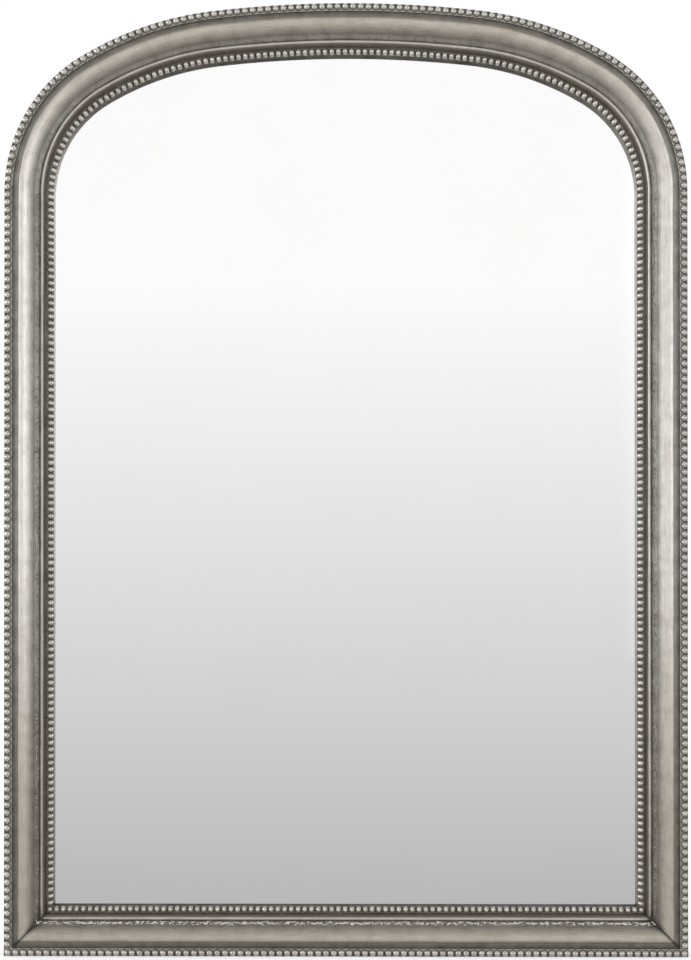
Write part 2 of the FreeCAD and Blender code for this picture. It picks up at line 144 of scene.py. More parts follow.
class ShaderGraph:
    """Node tree that is filled from Python expressions."""

    def __init__(self, tree: bpy.types.NodeTree) -> None:
        """Takes a node tree and empties it."""
        self.tree = tree
        tree.nodes.clear()

    def node(self, kind: str, settings: dict, sockets: dict) -> bpy.types.Node:
        """Adds a node.

        Args:
            kind: Node type.
            settings: Properties that are set first; "stops" holds a ramp's positions and colours.
            sockets: Values or links of the input sockets, by name or number.

        Returns:
            The new node.
        """
        made = self.tree.nodes.new(kind)
        for name, value in settings.items():
            if name == "stops":
                self._set_stops(made.color_ramp, value)
            else:
                setattr(made, name, value)
        for key, value in sockets.items():
            socket = made.inputs[key]
            if isinstance(value, Signal):
                self.tree.links.new(value.socket, socket)
            else:
                socket.default_value = value
        return made

    @staticmethod
    def _set_stops(ramp: bpy.types.ColorRamp, stops: list[tuple[float, Colour]]) -> None:
        """Gives a ramp its stops.

        Args:
            ramp: Ramp with its two first stops.
            stops: Position and colour of each stop, in rising order.
        """
        while len(ramp.elements) < len(stops):
            ramp.elements.new(1.0)
        for element, (position, colour) in zip(ramp.elements, stops):
            element.position = position
            element.color = colour

    def signal(
        self, kind: str, settings: dict, sockets: dict, output: Union[int, str] = 0
    ) -> Signal:
        """Adds a node and wraps one of its outputs, given by name or number."""
        return Signal(self, self.node(kind, settings, sockets).outputs[output])

    def attribute(self, name: str) -> Signal:
        """Value that the mesh carries at each of its points."""
        return self.signal("ShaderNodeAttribute", {"attribute_name": name}, {}, "Fac")

    def place(self) -> Signal:
        """Place on the piece at rest."""
        return self.signal("ShaderNodeTexCoord", {}, {}, "Object")

    def vector(self, x: Operand, y: Operand, z: Operand) -> Signal:
        """Vector of three values."""
        return self.signal("ShaderNodeCombineXYZ", {}, {"X": x, "Y": y, "Z": z})

    def noise(
        self, place: Signal, scale: float, detail: float = 3.0, roughness: float = 0.55
    ) -> Signal:
        """Cloudy values between 0 and 1; detail counts the finer layers and roughness weighs them."""
        sockets = {"Vector": place, "Scale": scale, "Detail": detail, "Roughness": roughness}
        return self.signal("ShaderNodeTexNoise", {}, sockets, "Fac")

    def blend(
        self, factor: Signal, first: Union[Signal, Colour], second: Union[Signal, Colour]
    ) -> Signal:
        """Mix of two colours: the first at a factor of 0 and the second at 1."""
        sockets = {0: factor, 6: first, 7: second}
        return self.signal("ShaderNodeMix", {"data_type": "RGBA"}, sockets, 2)

    def bump(self, height: Signal, distance: float, strength: float) -> Signal:
        """Normal that a height gives; a height of 1 stands the distance out of the surface."""
        sockets = {"Height": height, "Distance": distance, "Strength": strength}
        return self.signal("ShaderNodeBump", {}, sockets, "Normal")

    def surface(self, **sockets: Union[Signal, float, Colour]) -> Signal:
        """Principled shader; underscores in the names stand for spaces."""
        named = {name.replace("_", " "): value for name, value in sockets.items()}
        return self.signal("ShaderNodeBsdfPrincipled", {}, named)


@dataclass(frozen=True)
class Finish:
    """Finish that makes its own material once."""

    name: str

    def shader(self, graph: ShaderGraph) -> Signal:
        """Shader of the finish.

        Args:
            graph: Node tree of the material.

        Returns:
            The shader.
        """
        raise NotImplementedError

    def material(self) -> bpy.types.Material:
        """Material of the finish.

        Returns:
            The material, made on its first use.
        """
        found = bpy.data.materials.get(self.name)
        if found:
            return found
        made = bpy.data.materials.new(self.name)
        made.use_nodes = True
        graph = ShaderGraph(made.node_tree)
        graph.node("ShaderNodeOutputMaterial", {}, {"Surface": self.shader(graph)})
        return made


@dataclass(frozen=True)
class SilverLeaf(Finish):
    """Antiqued silver leaf with a dark glaze in the hollows and painted shade on some parts; its marks
    have a length and a width.
    """

    leaf: Colour = (0.96, 0.93, 0.88, 1.0)
    tarnish: Colour = (0.60, 0.545, 0.47, 1.0)
    glaze: Colour = (0.066, 0.056, 0.044, 1.0)
    gesso: Colour = (0.84, 0.82, 0.78, 1.0)
    polish: float = 0.30
    streak: tuple[float, float] = (34 * MM, 0.6 * MM)
    streak_drift: float = 9.0
    chip: tuple[float, float] = (6 * MM, 2.2 * MM)
    hair: tuple[float, float] = (11 * MM, 0.5 * MM)
    hair_drift: float = 6.0
    cloud_size: float = 18 * MM
    fleck_size: float = 1.1 * MM
    relief: tuple[float, float] = (0.12 * MM, 0.35)

    def shader(self, graph: ShaderGraph) -> Signal:
        """Leaf, tarnish, glaze and painted shade, mixed by the section and by brushing along the
        moulding.

        Args:
            graph: Node tree of the material.

        Returns:
            The shader.
        """
        along, across, hollow, flake, tone, level = (
            graph.attribute(name) for name in ("along", "across", "glaze", "flake", "tone", "level")
        )
        marks = ((self.streak, tone * self.streak_drift), (self.chip, 0.0), (self.hair, self.hair_drift))
        brushed, chipped, scratch = (
            graph.vector(along / length, across / width, drift) for (length, width), drift in marks
        )
        place = graph.place()
        streaks = graph.noise(brushed, 1.0, 4.0, 0.62)
        clouds = graph.noise(place, 1 / self.cloud_size, 4.0, 0.6)
        flecks = graph.noise(place, 1 / self.fleck_size, 3.0, 0.6)
        chips = graph.noise(chipped, 1.0, 5.0, 0.7)
        hairs = graph.noise(scratch, 1.0, 3.0, 0.6)

        # The glaze attribute is patina in the hollows and also painted shade on the beads, lips and
        # fillets.
        patina_and_shade = hollow * (0.78 + 0.44 * clouds)
        worn = streaks.smooth(0.54, 0.76) * 0.32
        specks = flecks.smooth(0.65, 0.73) * (0.55 + 0.4 * hollow)
        scratched = hairs.smooth(0.62, 0.72) * clouds.smooth(0.48, 0.62) * 0.8
        peel = chips + 0.4 * flake - 0.4
        # This dirt takes in that painted shade besides wear streaks, specks, scratches and peeling.
        dirt = (patina_and_shade + worn + specks + scratched + peel.smooth(0.38, 0.46) * 0.5).clamped()
        bare = peel.smooth(0.46, 0.52) * 0.9
        dulled = clouds.smooth(0.42, 0.66) * 0.18 + streaks.smooth(0.44, 0.68) * 0.38
        # Painted shade: the level attribute darkens the leaf where a moulding runs level; it also holds
        # the darkening towards the bottom of the frame.
        tarnish_and_run_shade = (dulled + tone * 0.28 + level * 0.7).clamped()
        leafed = graph.blend(dirt, graph.blend(tarnish_and_run_shade, self.leaf, self.tarnish), self.glaze)
        brushing = 0.14 * streaks + 0.10 * clouds
        return graph.surface(
            Base_Color=graph.blend(bare, leafed, self.gesso),
            Metallic=(1 - 0.72 * dirt) * (1 - bare),
            Roughness=self.polish + brushing + 0.22 * dirt + 0.25 * bare + 0.12 * level,
            Normal=graph.bump(streaks * 0.5 + chips * flake * 1.5 + flecks * 0.4, *self.relief),
        )


@dataclass(frozen=True)
class BareWood(Finish):
    """Plain softwood or beech with its grain along the longest side."""

    pale: Colour = (0.56, 0.40, 0.24, 1.0)
    dark: Colour = (0.36, 0.225, 0.12, 1.0)
    ring_width: float = 3.2 * MM
    ring_drift: float = 2.5
    grain_length: float = 60 * MM
    pore: tuple[float, float] = (9 * MM, 0.35 * MM)
    pore_drift: float = 3.0

    def shader(self, graph: ShaderGraph) -> Signal:
        """Grain lines, pores and stains.

        Args:
            graph: Node tree of the material.

        Returns:
            The shader.
        """
        along = graph.attribute("along")
        across = graph.attribute("across")
        place = graph.place()
        drift = graph.noise(place, 14.0, 3.0)
        rings = graph.vector(
            along / self.grain_length, across / self.ring_width + drift * self.ring_drift, 0.0
        )
        grain = graph.noise(rings, 1.0, 4.0, 0.6)
        pored = graph.vector(along / self.pore[0], across / self.pore[1], self.pore_drift)
        pores = graph.noise(pored, 1.0, 2.0)
        stain = graph.noise(place, 22.0, 4.0)
        tone = (grain.smooth(0.35, 0.70) * 0.75 + stain.smooth(0.5, 0.8) * 0.35).clamped()
        return graph.surface(
            Base_Color=graph.blend(tone, self.pale, self.dark),
            Roughness=0.62 + 0.2 * grain,
            Normal=graph.bump(grain * 0.6 + pores * 0.4, 0.15 * MM, 0.5),
        )


@dataclass(frozen=True)
class Hardboard(Finish):
    """Pressed brown fibre board."""

    pale: Colour = (0.33, 0.205, 0.115, 1.0)
    dark: Colour = (0.19, 0.108, 0.058, 1.0)
    fibre: float = 1.4 * MM

    def shader(self, graph: ShaderGraph) -> Signal:
        """Fibres, mottling and a faint sheen.

        Args:
            graph: Node tree of the material.

        Returns:
            The shader.
        """
        place = graph.place()
        fibres = graph.noise(place, 1 / self.fibre, 6.0, 0.7)
        mottle = graph.noise(place, 16.0, 5.0, 0.6)
        tone = (fibres.smooth(0.35, 0.68) * 0.6 + mottle.smooth(0.4, 0.7) * 0.4).clamped()
        return graph.surface(
            Base_Color=graph.blend(tone, self.pale, self.dark),
            Roughness=0.5 + 0.25 * fibres,
            Normal=graph.bump(fibres, 0.2 * MM, 0.5),
        )


@dataclass(frozen=True)
class Mottled(Finish):
    """Two colours in clouds over a finer grain.

    Noise is given as scale, detail and roughness, the surface's roughness as its least value
    and the shares of clouds and grain, and the relief as height and strength.
    """

    base: Colour
    clouded: Colour
    clouds: tuple[float, float, float]
    grain: tuple[float, float, float]
    turn: tuple[float, float]
    roughness: tuple[float, float, float]
    relief: tuple[float, float]
    metallic: float = 0.0

    def shader(self, graph: ShaderGraph) -> Signal:
        """Clouds change the colour and dull it, and the grain stands out of the surface.

        Args:
            graph: Node tree of the material.

        Returns:
            The shader.
        """
        place = graph.place()
        clouds = graph.noise(place, *self.clouds)
        grain = graph.noise(place, *self.grain)
        least, by_clouds, by_grain = self.roughness
        return graph.surface(
            Base_Color=graph.blend(clouds.smooth(*self.turn), self.base, self.clouded),
            Metallic=self.metallic,
            Roughness=least + by_clouds * clouds + by_grain * grain,
            Normal=graph.bump(grain, *self.relief),
        )


@dataclass(frozen=True)
class Silvering(Finish):
    """Silvered face of the plate under its polished glass."""

    silver: Colour = (0.985, 0.985, 0.982, 1.0)
    hazed: Colour = (0.975, 0.974, 0.97, 1.0)

    def shader(self, graph: ShaderGraph) -> Signal:
        """Bright metal with the faintest clouding.

        Args:
            graph: Node tree of the material.

        Returns:
            The shader.
        """
        clouds = graph.noise(graph.place(), 6.0, 3.0)
        return graph.surface(
            Base_Color=graph.blend(clouds.smooth(0.4, 0.8), self.silver, self.hazed),
            Metallic=1.0,
            Roughness=0.004 * clouds,
        )


MOULDING_LEAF = SilverLeaf("silvered_moulding_leaf")
BEAD_LEAF = SilverLeaf(
    "silvered_bead_leaf", leaf=(0.90, 0.87, 0.82, 1.0), tarnish=(0.56, 0.52, 0.46, 1.0),
    streak=(3 * MM, 1.5 * MM), polish=0.24,
)
FRAME_WOOD = BareWood("bare_frame_wood")
JOINERY_WOOD = Mottled(
    "bare_beech", base=(0.66, 0.48, 0.29, 1.0), clouded=(0.47, 0.31, 0.17, 1.0),
    clouds=(900.0, 4.0, 0.65), grain=(900.0, 4.0, 0.65), turn=(0.35, 0.7),
    roughness=(0.6, 0.2, 0.0), relief=(0.1 * MM, 0.4),
)
BOARD = Hardboard("raw_hardboard")
NICKEL = Mottled(
    "nickel_plate", base=(0.66, 0.66, 0.66, 1.0), clouded=(0.46, 0.45, 0.43, 1.0),
    clouds=(260.0, 4.0, 0.6), grain=(2600.0, 2.0, 0.5), turn=(0.42, 0.68),
    roughness=(0.26, 0.2, 0.08), relief=(0.03 * MM, 0.35), metallic=1.0,
)
ZINC = replace(
    NICKEL, name="zinc_plate", base=(0.64, 0.63, 0.58, 1.0), clouded=(0.44, 0.42, 0.36, 1.0),
    roughness=(0.30, 0.2, 0.08),
)
SCREW_STEEL = replace(
    NICKEL, name="screw_steel_plate", base=(0.56, 0.56, 0.57, 1.0), roughness=(0.34, 0.2, 0.08)
)
BUMPER_RUBBER = Mottled(
    "bumper_rubber", base=(0.022, 0.022, 0.023, 1.0), clouded=(0.085, 0.082, 0.078, 1.0),
    clouds=(320.0, 4.0, 0.6), grain=(3000.0, 2.0, 0.55), turn=(0.45, 0.75),
    roughness=(0.62, 0.2, 0.0), relief=(0.05 * MM, 0.4),
)
BLOCK_RUBBER = replace(BUMPER_RUBBER, name="block_rubber", base=(0.016, 0.016, 0.016, 1.0))
PLATE_EDGE = Mottled(
    "plate_edge", base=(0.30, 0.39, 0.36, 1.0), clouded=(0.20, 0.22, 0.22, 1.0),
    clouds=(700.0, 4.0, 0.65), grain=(700.0, 4.0, 0.65), turn=(0.35, 0.7),
    roughness=(0.35, 0.3, 0.0), relief=(0.05 * MM, 0.4),
)
SILVER = Silvering("plate_silvering")


class Draft:
    """Mesh in the making: points, faces, coats of the faces and values at the points."""

    def __init__(self) -> None:
        """Starts an empty draft."""
        self.points: list[np.ndarray] = []
        self.faces: list[list[int]] = []
        self.coats: list[int] = []
        self.values: dict[str, list[np.ndarray]] = {}
        self.count = 0

    def add_points(self, points: np.ndarray, **values: np.ndarray) -> np.ndarray:
        """Adds points.

        Args:
            points: Array of places whose last axis holds x, y and z.
            **values: Numbers for the points, in a shape that fits theirs.

        Returns:
            Point numbers in the shape of the array without its last axis.
        """
        shape = points.shape[:-1]
        flat = points.reshape(-1, 3)
        self.points.append(flat)
        for name, value in values.items():
            self.values.setdefault(name, []).append(np.broadcast_to(value, shape).reshape(-1))
        numbers = np.arange(self.count, self.count + len(flat)).reshape(shape)
        self.count += len(flat)
        return numbers

    def add_quads(self, numbers: np.ndarray, coats: np.ndarray) -> None:
        """Spans a grid of points with quads, with its last column joined to its first.

        Args:
            numbers: Point numbers in rows.
            coats: Coat of each column of quads.
        """
        right = np.roll(numbers, -1, axis=1)
        quads = np.stack([numbers[:-1], right[:-1], right[1:], numbers[1:]], axis=-1)
        self.faces.extend(quads.reshape(-1, 4).tolist())
        self.coats.extend(np.tile(coats, len(numbers) - 1).tolist())

    def add_faces(self, numbers: np.ndarray, coat: int = 0) -> None:
        """Adds faces, one in each row of point numbers."""
        self.faces.extend(numbers.tolist())
        self.coats.extend([coat] * len(numbers))

    def volume(self, points: np.ndarray) -> float:
        """Signed volume inside the faces.

        Args:
            points: All points of the draft.

        Returns:
            Six times the volume, below zero where the faces look inward.
        """
        total = 0.0
        for size in {len(face) for face in self.faces}:
            corners = points[np.array([face for face in self.faces if len(face) == size])]
            for k in range(1, size - 1):
                normals = np.cross(corners[:, k] - corners[:, 0], corners[:, k + 1] - corners[:, 0])
                total += float(np.sum(corners[:, 0] * normals))
        return total

    def piece(self, name: str, finishes: list[Finish], crease: float = 38.0) -> bpy.types.Object:
        """Makes the object.

        Args:
            name: Name of the piece.
            finishes: Finish of each coat.
            crease: Angle in degrees above which an edge stays sharp.

        Returns:
            The new object, linked to the scene.
        """
        points = np.concatenate(self.points)
        used = np.unique(np.concatenate([np.array(face) for face in self.faces]))
        order = np.full(len(points), -1)
        order[used] = np.arange(len(used))
        turn = -1 if self.volume(points) < 0 else 1
        faces = [[int(order[number]) for number in face[::turn]] for face in self.faces]
        mesh = bpy.data.meshes.new(name)
        mesh.from_pydata(points[used].tolist(), [], faces)
        for finish in finishes:
            mesh.materials.append(finish.material())
        mesh.polygons.foreach_set("material_index", np.array(self.coats, np.int32))
        mesh.polygons.foreach_set("use_smooth", np.ones(len(faces), bool))
        for value_name, parts in self.values.items():
            attribute = mesh.attributes.new(value_name, "FLOAT", "POINT")
            attribute.data.foreach_set("value", np.concatenate(parts)[used].astype(np.float32))
        mesh.set_sharp_from_angle(angle=math.radians(crease))
        mesh.validate()
        made = bpy.data.objects.new(name, mesh)
        bpy.context.scene.collection.objects.link(made)
        return made


def seat(piece: bpy.types.Object, body: str, slot: str, *nodes: str) -> None:
    """Puts a piece on its body in the place of its nodes.

    Args:
        piece: Finished piece.
        body: Body that carries it.
        slot: Material slot of the record; not used.
        *nodes: Nodes that the piece stands for.
    """
    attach(piece, body)
    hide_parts(*nodes)
    LOG.info("%s: %d faces on %s", piece.name, len(piece.data.polygons), body)


def dress(node: str, finish: Finish) -> None:
    """Gives a node that keeps its own shape a finish.

    Args:
        node: Name of the node.
        finish: Its finish.
    """
    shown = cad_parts[node]
    if not shown.material_slots:
        shown.data.materials.append(None)
    for place in shown.material_slots:
        place.material = finish.material()
    LOG.info("%s keeps its own shape", node)


@dataclass(frozen=True)
class ArchLine:
    """Outer edge of the frame: straight sides under a five-centred arch."""

    half: float
    height: float
    shoulder_radius: float = 200 * MM
    haunch_radius: float = 416 * MM
    haunch_angle: float = math.radians(24.6)
    crown_half_angle: float = math.radians(6.4)

    @property
    def crown_start(self) -> float:
        """Angle at which the crown's arc starts."""
        return math.pi / 2 - self.crown_half_angle

    @property
    def joint_angle(self) -> float:
        """Angle at which the shoulder ends."""
        return self.crown_start - self.haunch_angle

    @property
    def crown_radius(self) -> float:
        """Radius of the crown.

        Returns:
            The radius with which the crown meets the haunches on both sides.
        """
        shoulder_end = self.half - self.shoulder_radius * (1 - math.cos(self.joint_angle))
        step = math.cos(self.joint_angle) - math.cos(self.crown_start)
        return (shoulder_end - self.haunch_radius * step) / math.cos(self.crown_start)

    @property
    def spring(self) -> float:
        """Springing of the arch.

        Returns:
            The height at which the arch springs from the sides.
        """
        shoulder = self.shoulder_radius * math.sin(self.joint_angle)
        haunch = self.haunch_radius * (math.sin(self.crown_start) - math.sin(self.joint_angle))
        return self.height - shoulder - haunch - self.crown_radius * (1 - math.sin(self.crown_start))

    def arcs(self) -> list[tuple[float, float, float, float, float]]:
        """Right half of the arch.

        Returns:
            Centre x, centre z, radius, first and last angle of the shoulder, haunch and crown.
        """
        centre_x = self.half - self.shoulder_radius
        offset = self.haunch_radius - self.shoulder_radius
        haunch_x = centre_x - offset * math.cos(self.joint_angle)
        haunch_z = self.spring - offset * math.sin(self.joint_angle)
        crown_z = self.height - self.crown_radius
        return [
            (centre_x, self.spring, self.shoulder_radius, 0.0, self.joint_angle),
            (haunch_x, haunch_z, self.haunch_radius, self.joint_angle, self.crown_start),
            (0.0, crown_z, self.crown_radius, self.crown_start, math.pi / 2),
        ]

    def half_length(self, inset: float) -> float:
        """Length of the right half of the line at an inset, from the corner to the crown."""
        arcs = sum((radius - inset) * (last - first) for _, _, radius, first, last in self.arcs())
        return self.spring - inset + arcs

    def follow(self, inset: float, distance: np.ndarray) -> np.ndarray:
        """Places along the line at an inset, from the right foot over the arch to the left foot.

        Args:
            inset: Distance inward from the outer edge.
            distance: Distances along the line.

        Returns:
            Array whose last axis holds x, z and the x and z of the inward direction.
        """
        whole = 2 * self.half_length(inset)
        near = np.minimum(distance, whole - distance)
        x = np.full_like(near, self.half - inset)
        z = inset + near
        inward_x = np.full_like(near, -1.0)
        inward_z = np.zeros_like(near)
        start = self.spring - inset
        for centre_x, centre_z, radius, first, last in self.arcs():
            angle = first + (near - start) / (radius - inset)
            on_arc = near > start
            x = np.where(on_arc, centre_x + (radius - inset) * np.cos(angle), x)
            z = np.where(on_arc, centre_z + (radius - inset) * np.sin(angle), z)
            inward_x = np.where(on_arc, -np.cos(angle), inward_x)
            inward_z = np.where(on_arc, -np.sin(angle), inward_z)
            start += (radius - inset) * (last - first)
        side = np.where(distance > whole / 2, -1.0, 1.0)
        return np.stack([side * x, z, side * inward_x, inward_z], axis=-1)


@dataclass(frozen=True)
class SectionRun:
    """Stretch of the moulding's section; glaze and flaking are given at even steps along it."""

    points: np.ndarray
    glaze: tuple[float, ...]
    flake: tuple[float, ...] = (0.0, 0.0)
    coat: Coat = Coat.LEAF

    def spread(self, levels: tuple[float, ...]) -> np.ndarray:
        """Levels at even steps, read at each point of the stretch."""
        return np.interp(np.linspace(0, 1, len(self.points)), np.linspace(0, 1, len(levels)), levels)


@dataclass(frozen=True)
class MouldingSection:
    """Section of the moulding: u runs inward from the outer edge and h forward from the back."""

    side_depth: float = 31.0 * MM
    strip_end: float = 10.2 * MM
    band_end: float = 17.5 * MM
    roll_radius: float = 4.3 * MM
    crest_h: float = 37.2 * MM
    ogee_radius: float = 16.5 * MM
    ogee_end: float = 44.0 * MM
    ogee_foot_h: float = 23.7 * MM
    fillet_h: float = 24.4 * MM
    fillet_end: float = 47.4 * MM
    fillet_bulge: float = 0.8 * MM
    slope_end: float = 49.4 * MM
    ledge_h: float = 13.0 * MM
    face_width: float = 60.3 * MM
    rebate_wall: float = 51.2 * MM
    rebate_depth: float = 7.3 * MM
    glass_seam: float = 0.05 * MM
    arris: float = 0.5 * MM

    @staticmethod
    def line(start: tuple[float, float], end: tuple[float, float], count: int) -> np.ndarray:
        """Evenly spaced points from a start to an end."""
        return np.linspace(np.array(start), np.array(end), count)

    @staticmethod
    def rolled(
        level: tuple[float, float], radius: float, start: float, end: float, count: int
    ) -> np.ndarray:
        """Points of an arc that is level at a point.

        Args:
            level: Point at which the arc is level.
            radius: Radius of the arc, below zero for a hollow.
            start: First slope in radians.
            end: Last slope in radians.
            count: Number of points.

        Returns:
            The points in order.
        """
        slope = np.linspace(start, end, count)
        u, h = level
        return np.stack([u + radius * np.sin(slope), h - radius * (1 - np.cos(slope))], axis=-1)

    @property
    def crest(self) -> tuple[float, float]:
        """Foremost point of the section."""
        return self.band_end + self.roll_radius, self.crest_h

    def roll(self) -> np.ndarray:
        """Quarter round from the step beside the band to the crest."""
        return self.rolled(self.crest, self.roll_radius, -math.pi / 2, 0.0, 12)

    def ogee(self) -> tuple[np.ndarray, np.ndarray]:
        """Fall from the crest to the quirk.

        Returns:
            Points of the swelling part and points of the hollow part.
        """
        width = self.ogee_end - self.crest[0]
        angle = 2 * math.atan2(self.crest_h - self.ogee_foot_h, width)
        hollow_radius = width / math.sin(angle) - self.ogee_radius
        swell = self.rolled(self.crest, self.ogee_radius, 0.0, angle, 18)
        hollow = self.rolled((self.ogee_end, self.ogee_foot_h), -hollow_radius, angle, 0.0, 16)
        return swell[1:], hollow[1:]

    def fillet(self) -> np.ndarray:
        """Rounded fillet beside the quirk.

        Returns:
            The points in order.
        """
        half = (self.fillet_end - self.ogee_end) / 2
        angle = 2 * math.atan2(self.fillet_bulge, half)
        top = ((self.ogee_end + self.fillet_end) / 2, self.fillet_h + self.fillet_bulge)
        return self.rolled(top, half / math.sin(angle), -angle, angle, 7)

    def runs(self) -> list[SectionRun]:
        """Stretches of the section.

        Returns:
            The stretches in order, from the back of the outer side round to the back.
        """
        line, soft = self.line, self.arris
        strip, band, lip, wall = self.strip_end, self.band_end, self.face_width, self.rebate_wall
        depth, ledge, back = self.side_depth, self.ledge_h, self.rebate_depth + self.glass_seam
        roll = self.roll()
        swell, hollow = self.ogee()
        slope_start = (self.fillet_end + soft / 2, self.fillet_h - soft)
        slope = line(slope_start, (self.slope_end, ledge + soft), 6)
        flat_band = line((strip + soft, depth), (band, depth), 8)
        return [
            SectionRun(line((0, 0), (0, depth - soft), 6), (0.75, 0.35)),
            SectionRun(line((soft, depth), (strip, depth), 3), (0.6, 1.0)),
            # The band is glazed darkest beside the beads: patina in the recess and painted shade from
            # the bead strip.
            SectionRun(flat_band, (0.85, 0.78, 0.62, 0.45), (0.2, 0.1)),
            SectionRun(line((band, depth + soft), roll[0], 3), (0.7, 0.4)),
            SectionRun(roll[1:], (0.85, 0.6, 0.25, 0.0)),
            SectionRun(swell, (0.0, 0.02, 0.20, 0.42, 0.56), (0.0, 0.0, 0.1)),
            SectionRun(hollow, (0.66, 0.58, 0.52, 0.60, 1.0), (0.1, 0.7, 1.0, 0.95, 0.4)),
            SectionRun(self.fillet(), (1.0, 0.55, 0.15, 0.05)),
            SectionRun(slope, (0.0, 0.0, 0.3)),
            SectionRun(line((self.slope_end + soft, ledge), (lip - soft, ledge), 6), (0.85, 0.25)),
            SectionRun(line((lip, ledge - soft), (lip, back), 4), (0.3, 0.45)),
            SectionRun(line((lip - soft, back), (wall, back), 3), (1.0, 1.0)),
            SectionRun(line((wall, back - soft), (wall, 0), 3), (0.0, 0.0), coat=Coat.WOOD),
            SectionRun(line((wall - soft, 0), (soft, 0), 12), (0.0, 0.0), coat=Coat.WOOD),
        ]


